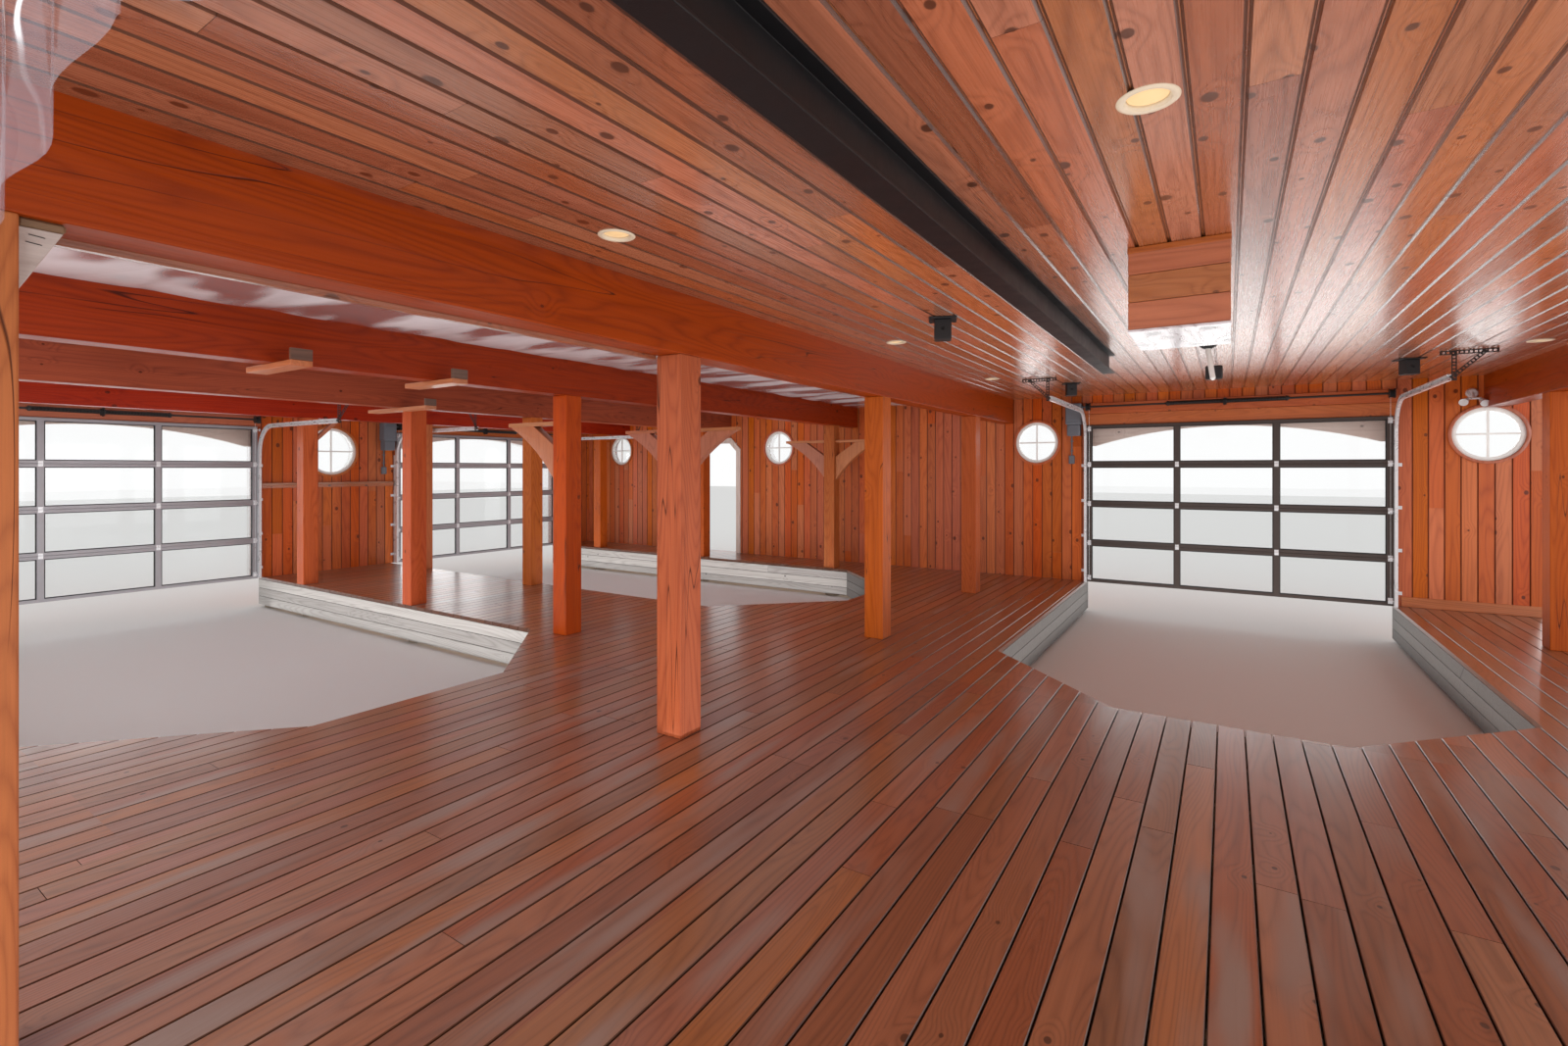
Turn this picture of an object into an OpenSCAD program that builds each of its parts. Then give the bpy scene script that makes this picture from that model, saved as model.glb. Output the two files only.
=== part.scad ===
// Boathouse with three boat slips under one hipped roof
// Two sides have walls and overhead doors, the other two are open between posts
// Units are millimetres, z = 0 is the water, the origin is under the middle of the plan

/* [Plan] */
// Length of the deck along the end wall
deck_l = 15020; // [14800:10:15600]
// Depth of the deck from the open side to the back of the end wall
deck_d = 10650; // [10400:10:11000]
// Height of the deck above the water
deck_top = 450; // [400:10:700]
// Thickness of the deck boards
board_t = 38; // [25:1:50]
// Thickness of the left wall and the end wall
wall_t = 150; // [120:5:180]

/* [Slips] */
// Width of the walk in front of the first side slip
front_walk_w = 795; // [700:5:900]
// Width of the walk between the two side slips
middle_walk_w = 1850; // [1700:10:1950]
// Width of the walk behind the second side slip, to the back of the end wall
back_walk_w = 1025; // [950:5:1150]
// Width of the lounge deck between the second side slip and the end slip
lounge_deck_w = 2195; // [2000:5:2400]
// Length of the deck between the heads of the two side slips
slip_head_w = 900; // [700:10:1100]
// Corner cut at the head of the first side slip
first_slip_cut = 1070; // [600:10:1300]
// Corner cut at the head of the second side slip
second_slip_cut = 1200; // [600:10:1400]
// Width of the end slip
end_slip_w = 3350; // [3200:10:3500]
// Length of the end slip from the face of the end wall
end_slip_l = 5725; // [5200:10:6200]
// Corner cut at the head of the end slip
end_slip_cut = 1050; // [600:10:1300]
// Middle of the end slip, from the right edge of the deck
end_slip_in = 2880; // [2800:10:2950]
// Thickness of the skirt boards under the slip edges
skirt_t = 38; // [25:1:45]
// Gap between the skirt boards and the water
skirt_gap = 40; // [10:5:80]

/* [Dock frame] */
// Height of the dock joists and girders
dock_joist_h = 235; // [180:5:285]
// Width of the dock girders
dock_girder_w = 89; // [70:1:120]
// Width of the dock joists
dock_joist_w = 38; // [30:1:60]
// Widest spacing of the dock joists
dock_joist_pitch = 610; // [400:10:700]
// Gap between two areas of the dock frame, and at the corner of the rim boards
bay_gap = 4; // [2:1:10]
// Diameter of the piles
pile_d = 240; // [200:10:300]

/* [Posts and beams] */
// Side of the square posts
post_w = 190; // [140:5:200]
// Width of the main beams
beam_w = 190; // [140:5:200]
// Height of the main beams
beam_h = 378; // [300:2:420]
// Clear height from the deck to the beams
beam_clear = 2285; // [2250:5:2500]
// Height of the slip beams above the underside of the other beams
slip_beam_lift = 26; // [10:2:60]
// Middle of the lounge row of posts, from the head of the second side slip
lounge_row_out = 1080; // [900:10:1300]
// Spacing of the posts in the lounge row
lounge_post_pitch = 2850; // [2700:10:2950]
// First post in each row, from the open edge to its middle
first_post_in = 185; // [130:5:250]
// Middle of the first slip row, from the lounge row
slip_row_step = 2620; // [2500:10:2700]
// Middle of the last slip row, from the inner face of the left wall
slip_row_in = 1180; // [900:10:1400]
// Middle of the right row, from the right edge of the deck
right_row_in = 360; // [250:10:400]
// Spacing of the posts in the right row
right_post_pitch = 4265; // [4150:5:4400]
// Gap between the back row of slip posts and the slip
back_post_gap = 30; // [0:5:80]
// Length of the wedge under the lounge beam, beside its first post
wedge_l = 95; // [70:5:140]
// Drop of the wedge
wedge_h = 205; // [150:5:260]
// Height of the upright end of the wedge
wedge_end = 28; // [20:1:40]
// Width of the wedge
wedge_w = 140; // [100:5:180]
// Reach of the small brace of the last slip row, along the beam and down the post
knee_l = 330; // [250:10:450]
// Thickness of the small brace
knee_t = 70; // [50:5:90]
// Length of the two arms under the first slip row's beam
beam_arm_l = 690; // [500:10:900]
// Spacing of these two arms
beam_arm_pitch = 1110; // [900:10:1300]
// Middle of these two arms, from the middle of the first door
beam_arm_off = 52; // [20:2:100]
// Length of the arm at the head of a post of the next row
post_arm_l = 1240; // [900:10:1400]
// Width of the arms under the beams
beam_arm_w = 128; // [90:2:150]
// Thickness of the arms under the beams
beam_arm_t = 38; // [30:1:50]
// Height of the stop at the end of each arm
arm_stop_h = 76; // [60:2:100]
// Thickness of the stop
arm_stop_t = 28; // [20:1:40]

/* [Ceiling and roof] */
// Thickness of the ceiling boards
ceiling_t = 19; // [16:1:25]
// Height of the ceiling joists
joist_h = 235; // [180:5:285]
// Width of the ceiling joists
joist_w = 38; // [30:1:60]
// Widest spacing of the ceiling joists
joist_pitch = 610; // [400:10:700]
// Reach of the eaves past the deck
eave_out = 500; // [300:10:800]
// Height of the fascia
fascia_h = 180; // [140:5:240]
// Slope of the roof in degrees
roof_angle = 22.6; // [15:0.1:30]
// Upright thickness of the roof
roof_t = 160; // [120:10:200]

/* [Overhead doors] */
// Gap between each side door and the edge of its slip
side_door_gap = 85; // [70:5:120]
// Gap between the end door and the edge of its slip
end_door_gap = 15; // [5:5:40]
// Height of each door
door_h = 2220; // [2150:10:2250]
// Thickness of the door leaves
door_t = 45; // [35:1:60]
// Lap of each door over its opening, at the sides and the head
door_lap = 30; // [15:5:60]
// Columns of glass in each door
door_cols = 3; // [2:1:5]
// Hinged sections in each door
door_rows = 4; // [3:1:5]
// Width of the stiles and mullions
door_stile = 62; // [45:1:90]
// Height of the rails of one section
door_rail = 40; // [30:1:60]
// Groove at the joint of two sections
joint_groove = 6; // [4:1:10]
// Thickness of the glass in doors and windows
glass_t = 8; // [6:1:12]
// Drop of the arched head outside, from crown to springing
arch_drop = 260; // [180:10:340]
// Drop of the top of the arc from the head of the opening
arch_crown = 20; // [10:1:40]
// Thickness of the arched head
arch_t = 32; // [20:1:40]
// Thickness of the header boards over the doors
header_t = 30; // [20:1:40]
// Gap between the head of a door and its header boards
header_gap = 6; // [4:1:15]
// Reach of the header boards past the sides of the door
header_side = 50; // [35:5:80]

/* [Door gear] */
// Width of the track channel
track_w = 30; // [24:1:40]
// Depth of the track channel
track_d = 56; // [50:1:70]
// Thickness of the track metal
track_t = 4; // [3:0.5:6]
// Radius of the track bend
track_r = 360; // [300:10:400]
// Height of the level tracks of the end door above the deck
end_track_up = 2380; // [2330:5:2420]
// Height of the level tracks of the side doors above the deck
side_track_up = 2195; // [2150:5:2200]
// Length of the level tracks
track_l = 1900; // [1500:50:2100]
// Diameter of the spring shaft
shaft_d = 26; // [20:1:32]
// Height of the spring shaft of the end door above the deck
end_shaft_up = 2480; // [2470:5:2520]
// Height of the spring shafts of the side doors above the deck
side_shaft_up = 2320; // [2315:5:2500]
// Middle of the spring shaft, from the wall
shaft_out = 92; // [85:1:110]
// Diameter of the springs
spring_d = 58; // [45:1:70]
// Length of each spring
spring_l = 620; // [400:10:900]
// Diameter of the cable drums
drum_d = 112; // [90:2:120]
// Length of the cable drums
drum_l = 50; // [40:2:60]
// Width of the perforated strips that hang the tracks
strip_w = 36; // [30:1:50]
// Thickness of the perforated strips
strip_t = 4; // [3:0.5:6]
// Length of the strip on the ceiling
strip_l = 380; // [300:10:500]

/* [Round windows and entry] */
// Diameter of the round openings in the end wall
port_d = 600; // [500:10:640]
// Diameter of the round opening in the left wall
side_port_d = 740; // [640:10:800]
// Height of the middle of the end windows above the deck
port_up = 1990; // [1900:10:2050]
// Height of the middle of the side window above the deck
side_port_up = 1880; // [1800:10:1950]
// Width of the window frames
port_frame_w = 42; // [30:1:60]
// Depth of the window frames
port_frame_t = 60; // [40:1:80]
// Width of the window bars
port_bar = 20; // [14:1:30]
// Width of the wooden rings round the windows
ring_w = 32; // [26:1:60]
// Thickness of the wooden rings and the entry casing
ring_t = 24; // [16:1:32]
// Middle of the first end window, from the left edge of the deck
first_port_in = 1170; // [1000:10:1500]
// Middle of the second end window, from the left edge of the deck
second_port_in = 5215; // [4900:5:5400]
// Middle of the third end window, from the middle of the end slip
third_port_off = 2355; // [2200:5:2500]
// Middle of the last end window, from the right edge of the deck
last_port_in = 420; // [380:5:450]
// Width of the entry
entry_w = 880; // [800:10:1000]
// Height of the entry
entry_h = 2100; // [2000:10:2150]
// Middle of the entry, from the left edge of the deck
entry_in = 3810; // [3300:10:4200]
// Clipped corner of the entry head
entry_clip = 160; // [80:10:240]
// Width of the entry casing
casing_w = 95; // [70:5:120]

/* [Racks] */
// Height of the rack arms above the deck, to their top
arm_up = 2070; // [1950:10:2150]
// Reach of the rack arms from the face of the post
arm_l = 760; // [600:10:900]
// Thickness of the rack arms
arm_t = 40; // [30:1:60]
// Width of the rack arms and their braces
arm_w = 90; // [70:1:120]
// Reach of the curved braces
brace_l = 730; // [600:10:760]
// Drop of the curved braces
brace_h = 600; // [500:10:680]
// Hollow of the lower edge of the curved braces
brace_hollow = 62; // [40:1:100]

/* [Lounge fittings] */
// Middle of the hoist rail, from the right edge of the deck
rail_in = 3770; // [3600:10:3900]
// Height of the hoist rail
rail_h = 170; // [120:5:200]
// Width of the flanges of the hoist rail
rail_w = 100; // [80:5:120]
// Thickness of the flanges of the hoist rail
rail_flange = 11; // [8:1:14]
// Thickness of the web of the hoist rail
rail_web = 8; // [6:1:12]
// Length of the hoist rail from the open edge
rail_l = 6785; // [6000:5:7500]
// Width of the ceiling box
chest_w = 415; // [350:5:480]
// Length of the ceiling box
chest_l = 600; // [500:10:700]
// Drop of the ceiling box
chest_h = 400; // [300:10:460]
// Left side of the ceiling box, from the right edge of the deck
chest_in = 3250; // [3000:10:3400]
// Front of the ceiling box, from the open edge
chest_back = 3455; // [3300:5:3700]
// Diameter of the recessed lights
lamp_d = 166; // [140:2:240]
// Width of the trim ring of the lights
lamp_ring = 22; // [18:1:40]
// Thickness of the trim ring of the lights
lamp_rim_t = 6; // [4:1:10]
// Thickness of the metal of the lamp cans
lamp_can_t = 5; // [3:1:8]
// Rows of lights, from the open edge
lamp_y_in = [2025, 5125, 7875];
// Columns of lights, from the right edge of the deck
lamp_x_in = [5150, 3040, 710];

/* [Clear curtain] */
// Lowest point of the curtain above the deck
curtain_low = 1850; // [1700:10:2000]
// Rise of its lower edge from there to each tie
curtain_rise = 95; // [50:5:200]
// Thickness of the space that its folds take
curtain_t = 24; // [12:1:40]
// Gap between the curtain and the rim board and eave that it hangs from
curtain_gap = 0.3; // [0.3:0.1:3]
// Number of swags between the lounge row and the right row
curtain_swags = 5; // [1:1:8]

/* [Hidden] */
$fn = 64;

// Small overlap that lets a cutter pass clean through
cut = 1;

// Edges and faces of the plan
left_x = -deck_l / 2;
right_x = deck_l / 2;
open_y = -deck_d / 2;
end_y = deck_d / 2;
left_in_x = left_x + wall_t;
end_in_y = end_y - wall_t;

// Heights of the frame
board_z = deck_top - board_t;
dock_z = board_z - dock_joist_h;
beam_z = deck_top + beam_clear;
slip_beam_z = beam_z + slip_beam_lift;
joist_z = beam_z + beam_h;
ceiling_z = joist_z - ceiling_t;
wall_top = joist_z + joist_h;
wall_h = wall_top - deck_top;

// Slips in plan: the two side slips share the depth that the walks leave
side_slip_w = (deck_d - front_walk_w - middle_walk_w - back_walk_w) / 2;
first_y0 = open_y + front_walk_w;
first_y1 = first_y0 + side_slip_w;
second_y0 = first_y1 + middle_walk_w;
second_y1 = second_y0 + side_slip_w;
end_slip_x = right_x - end_slip_in;
end_x0 = end_slip_x - end_slip_w / 2;
end_x1 = end_slip_x + end_slip_w / 2;
end_slip_y0 = end_y - end_slip_l;
second_x1 = end_x0 - lounge_deck_w;
first_x1 = second_x1 - slip_head_w;

// Rows of posts
lounge_x = second_x1 + lounge_row_out;
right_row_x = right_x - right_row_in;
first_post_y = open_y + first_post_in;
first_row_x = lounge_x - slip_row_step;
last_row_x = left_in_x + slip_row_in;
slip_rows = [first_row_x, (first_row_x + last_row_x) / 2, last_row_x];
lounge_post_ys = [for (i = [0:3]) first_post_y + i * lounge_post_pitch];
right_post_ys = [for (i = [0:2]) first_post_y + i * right_post_pitch];
slip_post_ys = [
    first_post_y,
    first_y1 + post_w / 2,
    second_y0 - post_w / 2,
    second_y1 + back_post_gap + post_w / 2
];

// Doors
door_top = deck_top + door_h;
first_door_y = (first_y0 + first_y1) / 2;
second_door_y = (second_y0 + second_y1) / 2;
side_door_w = side_slip_w - 2 * side_door_gap;
end_door_w = end_slip_w - 2 * end_door_gap;
side_opening_w = side_door_w - 2 * door_lap;
end_opening_w = end_door_w - 2 * door_lap;
opening_top = door_top - door_lap;
section_h = door_h / door_rows;

// Windows and entry
port_xs = [
    left_x + first_port_in,
    left_x + second_port_in,
    end_slip_x - third_port_off,
    right_x - last_port_in
];
port_z = deck_top + port_up;
side_port_y = (first_y1 + second_y0) / 2;
side_port_z = deck_top + side_port_up;
entry_x = left_x + entry_in;
entry_x0 = entry_x - entry_w / 2;
entry_x1 = entry_x + entry_w / 2;
entry_top = deck_top + entry_h;

// Roof
eave_x = right_x + eave_out;
eave_y = end_y + eave_out;
roof_slope = tan(roof_angle);
roof_z = wall_top + fascia_h;

// A box between two corners
module block(x0, x1, y0, y1, z0, z1) {
    translate([x0, y0, z0]) cube([x1 - x0, y1 - y0, z1 - z0]);
}

// The same shape moved to every place in a list
module at(places) {
    for (p = places) translate(p) children();
}

// Places in even steps no wider than the pitch
function steps(a, b, pitch) = let (n = max(1, ceil((b - a) / pitch))) [for (i = [0:n]) a + i * (b - a) / n];

// Plan of a side slip, grown by a margin, with the corners at its head cut at 45 degrees
module side_slip(x1, y0, y1, corner, grow) {
    c = corner + grow * (2 - sqrt(2));
    polygon([
        [left_x - cut, y0 - grow],
        [x1 + grow - c, y0 - grow],
        [x1 + grow, y0 - grow + c],
        [x1 + grow, y1 + grow - c],
        [x1 + grow - c, y1 + grow],
        [left_x - cut, y1 + grow]
    ]);
}

// Plan of the end slip, grown by a margin
module end_slip(grow) {
    c = end_slip_cut + grow * (2 - sqrt(2));
    x0 = end_x0 - grow;
    x1 = end_x1 + grow;
    y0 = end_slip_y0 - grow;
    polygon([
        [x0, end_y + cut],
        [x0, y0 + c],
        [x0 + c, y0],
        [x1 - c, y0],
        [x1, y0 + c],
        [x1, end_y + cut]
    ]);
}

// A post from the deck to its beam
module post(top = beam_z) {
    translate([-post_w / 2, -post_w / 2, deck_top]) cube([post_w, post_w, top - deck_top]);
}

// Piles from the water to the dock frame, behind the skirts, under the posts and the walls
module piles() {
    wall_x = left_x + pile_d / 2;
    wall_y = end_y - pile_d / 2;
    back = skirt_t + pile_d / 2;
    walk_ys = [first_post_y, first_y1 + back, second_y0 - back, second_y1 + back];
    end_xs = concat(slip_rows, [lounge_x, right_row_x]);
    color("dimgray")
    at(concat(
        [for (y = lounge_post_ys) [lounge_x, y]],
        [for (x = concat([wall_x], slip_rows), y = walk_ys) [x, y]],
        [for (y = right_post_ys) [right_row_x, y]],
        [for (x = end_xs) [x, wall_y]]
    ))
    cylinder(d = pile_d, h = dock_z);
}

// Girders round one area of the deck and under the rows of posts that cross it, and joists along it
module bay_frame(x0, x1, y0, y1) {
    g = bay_gap / 2;
    w = dock_girder_w;
    difference() {
        block(x0 + g, x1 - g, y0 + g, y1 - g, dock_z, board_z);
        block(x0 + g + w, x1 - g - w, y0 + g + w, y1 - g - w, dock_z - cut, board_z + cut);
    }
    for (x = concat(slip_rows, [lounge_x, right_row_x]))
        if (x - w > x0 && x + w < x1)
            block(x - w / 2, x + w / 2, y0 + g, y1 - g, dock_z, board_z);
    ys = steps(y0, y1, dock_joist_pitch);
    if (len(ys) > 2)
        for (i = [1:len(ys) - 2])
            block(x0 + g, x1 - g, ys[i] - dock_joist_w / 2, ys[i] + dock_joist_w / 2, dock_z, board_z);
}

// The framing under the whole deck, one frame for each area, kept back behind the skirts
module dock_frame() {
    s = skirt_t;
    color("tan") {
        bay_frame(left_x, second_x1 + s, open_y, first_y0 - s);
        bay_frame(first_x1 + s, second_x1 + s, first_y0 - s, first_y1 + s);
        bay_frame(left_x, second_x1 + s, first_y1 + s, second_y0 - s);
        bay_frame(left_x, second_x1 + s, second_y1 + s, end_y);
        bay_frame(second_x1 + s, end_x0 - s, open_y, end_y);
        bay_frame(end_x0 - s, right_x, open_y, end_slip_y0 - s);
        bay_frame(end_x1 + s, right_x, end_slip_y0 - s, end_y);
    }
}

// One plain area of boards
module boards(x0, x1, y0, y1) {
    color("sienna") block(x0, x1, y0, y1, board_z, deck_top);
}

module front_walk() {
    boards(left_x, second_x1, open_y, first_y0);
}

module slip_head_deck() {
    boards(first_x1, second_x1, first_y0, first_y1);
}

module middle_walk() {
    boards(left_x, second_x1, first_y1, second_y0);
}

module back_walk() {
    boards(left_x, second_x1, second_y1, end_y);
}

module lounge_deck() {
    boards(second_x1, end_x0, open_y, end_y);
}

module end_slip_deck() {
    boards(end_x0, right_x, open_y, end_slip_y0);
}

module right_walk() {
    boards(end_x1, right_x, end_slip_y0, end_y);
}

// One corner of boards at the head of a slip, with its two legs along the given directions
module corner_deck(x, y, size, sx, sy) {
    translate([x, y, board_z]) linear_extrude(board_t) polygon([[0, 0], [sx * size, 0], [0, sy * size]]);
}

// The six corners that round off the heads of the slips
module corner_decks() {
    color("sienna") {
        corner_deck(first_x1, first_y0, first_slip_cut, -1, 1);
        corner_deck(first_x1, first_y1, first_slip_cut, -1, -1);
        corner_deck(second_x1, second_y0, second_slip_cut, -1, 1);
        corner_deck(second_x1, second_y1, second_slip_cut, -1, -1);
        corner_deck(end_x0, end_slip_y0, end_slip_cut, 1, 1);
        corner_deck(end_x1, end_slip_y0, end_slip_cut, -1, 1);
    }
}

// Skirt boards hang from under the deck edge to just over the water
module skirt_band() {
    color("gray") translate([0, 0, skirt_gap]) linear_extrude(board_z - skirt_gap) children();
}

module first_slip_skirt() {
    skirt_band() difference() {
        intersection() {
            side_slip(first_x1, first_y0, first_y1, first_slip_cut, skirt_t);
            translate([left_x, open_y]) square([deck_l, deck_d]);
        }
        side_slip(first_x1, first_y0, first_y1, first_slip_cut, 0);
    }
}

module second_slip_skirt() {
    skirt_band() difference() {
        intersection() {
            side_slip(second_x1, second_y0, second_y1, second_slip_cut, skirt_t);
            translate([left_x, open_y]) square([deck_l, deck_d]);
        }
        side_slip(second_x1, second_y0, second_y1, second_slip_cut, 0);
    }
}

module end_slip_skirt() {
    skirt_band() difference() {
        intersection() {
            end_slip(skirt_t);
            translate([left_x, open_y]) square([deck_l, deck_d]);
        }
        end_slip(0);
    }
}

module lounge_posts() {
    color("chocolate") at([for (y = lounge_post_ys) [lounge_x, y, 0]]) post();
}

module slip_posts() {
    color("chocolate") at([for (x = slip_rows, y = slip_post_ys) [x, y, 0]]) post(slip_beam_z);
}

module right_posts() {
    color("chocolate") at([for (y = right_post_ys) [right_row_x, y, 0]]) post();
}

// A beam along the depth of the hall, from the open edge to the end wall
module beam(z = beam_z) {
    translate([-beam_w / 2, open_y, z]) cube([beam_w, end_in_y - open_y, joist_z - z]);
}

module lounge_beam() {
    color("chocolate") at([[lounge_x, 0, 0]]) beam();
}

module slip_beams() {
    color("chocolate") at([for (x = slip_rows) [x, 0, 0]]) beam(slip_beam_z);
}

module right_beam() {
    color("chocolate") at([[right_row_x, 0, 0]]) beam();
}

// Side of a curved brace: a board on the slant with a hollow arc along its lower edge
module brace_side() {
    chord = norm([brace_l, brace_h]);
    arc_r = chord * chord / (8 * brace_hollow) + brace_hollow / 2;
    out = arc_r - brace_hollow;
    difference() {
        polygon([[0, -brace_h], [0, -brace_h * 0.38], [brace_l * 0.49, 0], [brace_l, 0]]);
        translate([brace_l / 2 + out * brace_h / chord, -brace_h / 2 - out * brace_l / chord])
        circle(r = arc_r, $fn = 192);
    }
}

// Places of the rack arms: a post and the way each arm points
function rack_places() = [
    [slip_rows[0], slip_post_ys[1], -1],
    [slip_rows[0], slip_post_ys[2], -1],
    [slip_rows[0], slip_post_ys[2], 1],
    [slip_rows[0], slip_post_ys[3], -1],
    [slip_rows[0], slip_post_ys[3], 1]
];

module rack_arms() {
    color("sienna")
    for (p = rack_places())
        translate([p[0] + p[2] * post_w / 2, p[1] - arm_w / 2, deck_top + arm_up - arm_t])
        translate([p[2] > 0 ? 0 : -arm_l, 0, 0])
        cube([arm_l, arm_w, arm_t]);
}

module curved_braces() {
    color("chocolate")
    for (p = rack_places())
        translate([p[0] + p[2] * post_w / 2, p[1] + arm_w / 2, deck_top + arm_up - arm_t])
        scale([p[2], 1, 1])
        rotate([90, 0, 0])
        linear_extrude(arm_w) brace_side();
}

// An arm across the underside of a beam, its middle on x = 0, with a stop at one end
module beam_arm(l) {
    translate([-l / 2, -beam_arm_w / 2, slip_beam_z - beam_arm_t]) cube([l, beam_arm_w, beam_arm_t]);
    translate([l / 2 - arm_stop_t, -beam_arm_w / 2, slip_beam_z - cut])
    cube([arm_stop_t, beam_arm_w, arm_stop_h + cut]);
}

// Two arms over the first slip and one on the side of a post of the next row
module beam_arms() {
    color("rosybrown") {
        for (s = [-1, 1])
            translate([slip_rows[0], first_door_y - beam_arm_off + s * beam_arm_pitch / 2, 0])
            beam_arm(beam_arm_l);
        translate([slip_rows[1], first_y1 - beam_arm_w / 2, 0]) beam_arm(post_arm_l);
    }
}

// A wedge that fills the corner of the first lounge post and its beam
module beam_wedge() {
    color("gainsboro")
    translate([lounge_x - wedge_w / 2, first_post_y + post_w / 2, beam_z])
    rotate([90, 0, 90])
    linear_extrude(wedge_w)
    polygon([[0, 0], [wedge_l, 0], [wedge_l, -wedge_end], [0, -wedge_h]]);
}

// A small straight brace from the second post of the last slip row up to its beam
module knee_brace() {
    color("chocolate")
    translate([last_row_x - knee_t / 2, slip_post_ys[1] + post_w / 2, slip_beam_z])
    rotate([90, 0, 90])
    linear_extrude(knee_t)
    polygon([[0, -knee_l], [0, -knee_l + knee_t], [knee_l - knee_t, 0], [knee_l, 0]]);
}

// A length of the left wall, standing on the deck
module left_wall(y0, y1) {
    block(left_x, left_in_x, y0, y1, deck_top, wall_top);
}

module left_wall_front() {
    color("peru") left_wall(open_y, first_door_y - side_opening_w / 2);
}

module left_wall_middle() {
    color("peru") difference() {
        left_wall(first_door_y + side_opening_w / 2, second_door_y - side_opening_w / 2);
        translate([left_x - cut, side_port_y, side_port_z])
        rotate([0, 90, 0])
        cylinder(d = side_port_d, h = wall_t + 2 * cut);
    }
}

module left_wall_back() {
    color("peru") left_wall(second_door_y + side_opening_w / 2, end_in_y);
}

module left_wall_headers() {
    half = side_opening_w / 2;
    color("peru")
    for (y = [first_door_y, second_door_y])
        block(left_x, left_in_x, y - half, y + half, opening_top, wall_top);
}

// A length of the end wall with the round openings that fall in it
module end_wall(x0, x1) {
    difference() {
        block(x0, x1, end_in_y, end_y, deck_top, wall_top);
        for (x = port_xs)
            if (x > x0 && x < x1)
                translate([x, end_y + cut, port_z])
                rotate([90, 0, 0])
                cylinder(d = port_d, h = wall_t + 2 * cut);
    }
}

module end_wall_left() {
    color("peru") end_wall(left_x, entry_x0);
}

module end_wall_middle() {
    color("peru") end_wall(entry_x1, end_slip_x - end_opening_w / 2);
}

module end_wall_right() {
    color("peru") end_wall(end_slip_x + end_opening_w / 2, right_x);
}

module end_wall_headers() {
    half = end_opening_w / 2;
    color("peru") {
        block(end_slip_x - half, end_slip_x + half, end_in_y, end_y, opening_top, wall_top);
        block(entry_x0, entry_x1, end_in_y, end_y, entry_top, wall_top);
    }
}

// Puts what is drawn for a door in the end wall, middle on x = 0 and wall face on y = 0,
// at each of the doors in turn
module at_first_door() {
    translate([left_in_x, first_door_y, 0]) rotate([0, 0, 90]) children();
}

module at_second_door() {
    translate([left_in_x, second_door_y, 0]) rotate([0, 0, 90]) children();
}

module at_end_door() {
    translate([end_slip_x, end_in_y, 0]) children();
}

// Width of one glass opening, the left edge of each, their height and the foot of each
function pane_w(w) = (w - (door_cols + 1) * door_stile) / door_cols;
function pane_x(w, i) = -w / 2 + door_stile + i * (pane_w(w) + door_stile);
pane_h = section_h - 2 * door_rail;
function pane_z(j) = deck_top + j * section_h + door_rail;

// A door leaf of hinged sections, each with a row of glass openings
module door_leaf(w) {
    color("dimgray") difference() {
        translate([-w / 2, -door_t, deck_top]) cube([w, door_t, door_h]);
        for (i = [0:door_cols - 1], j = [0:door_rows - 1])
            translate([pane_x(w, i), -door_t - cut, pane_z(j)]) cube([pane_w(w), door_t + 2 * cut, pane_h]);
        for (j = [1:door_rows - 1])
            translate([-w / 2 - cut, -door_t - cut, deck_top + j * section_h - joint_groove / 2])
            cube([w + 2 * cut, joint_groove + cut, joint_groove]);
    }
}

// The panes of one door
module door_panes(w) {
    for (i = [0:door_cols - 1], j = [0:door_rows - 1])
        translate([pane_x(w, i), -(door_t + glass_t) / 2, pane_z(j)]) cube([pane_w(w), glass_t, pane_h]);
}

module first_door() {
    at_first_door() door_leaf(side_door_w);
}

module second_door() {
    at_second_door() door_leaf(side_door_w);
}

module end_door() {
    at_end_door() door_leaf(end_door_w);
}

module door_glass() {
    color("lightblue") {
        at_first_door() door_panes(side_door_w);
        at_second_door() door_panes(side_door_w);
        at_end_door() door_panes(end_door_w);
    }
}

// Section of a track: a channel that opens towards the door
module track_section() {
    lip = track_d / 4;
    difference() {
        square([track_w, track_d]);
        translate([-cut, track_t]) square([track_w - track_t + cut, track_d - 2 * track_t]);
    }
    translate([0, 0]) square([track_t, lip]);
    translate([0, track_d - lip]) square([track_t, lip]);
}

// One track: upright beside the door, round the bend, then level under the ceiling
module track(w, up) {
    bend_z = deck_top + up - track_r;
    face_y = -door_t - track_d;
    translate([w / 2, face_y, deck_top]) linear_extrude(up - track_r) track_section();
    translate([w / 2, -door_t, deck_top]) cube([track_w, door_t, up - track_r]);
    translate([w / 2, face_y - track_r, bend_z])
    rotate([90, 0, 90])
    rotate_extrude(angle = 90)
    translate([track_r, 0])
    mirror([1, -1])
    track_section();
    translate([w / 2, face_y - track_r, bend_z + track_r])
    rotate([90, 0, 0])
    linear_extrude(track_l) track_section();
}

// The same piece on both sides of a door
module both_sides() {
    children();
    mirror([1, 0, 0]) children();
}

module first_door_tracks() {
    color("silver") at_first_door() both_sides() track(side_door_w, side_track_up);
}

module second_door_tracks() {
    color("silver") at_second_door() both_sides() track(side_door_w, side_track_up);
}

module end_door_tracks() {
    color("silver") at_end_door() both_sides() track(end_door_w, end_track_up);
}

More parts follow.
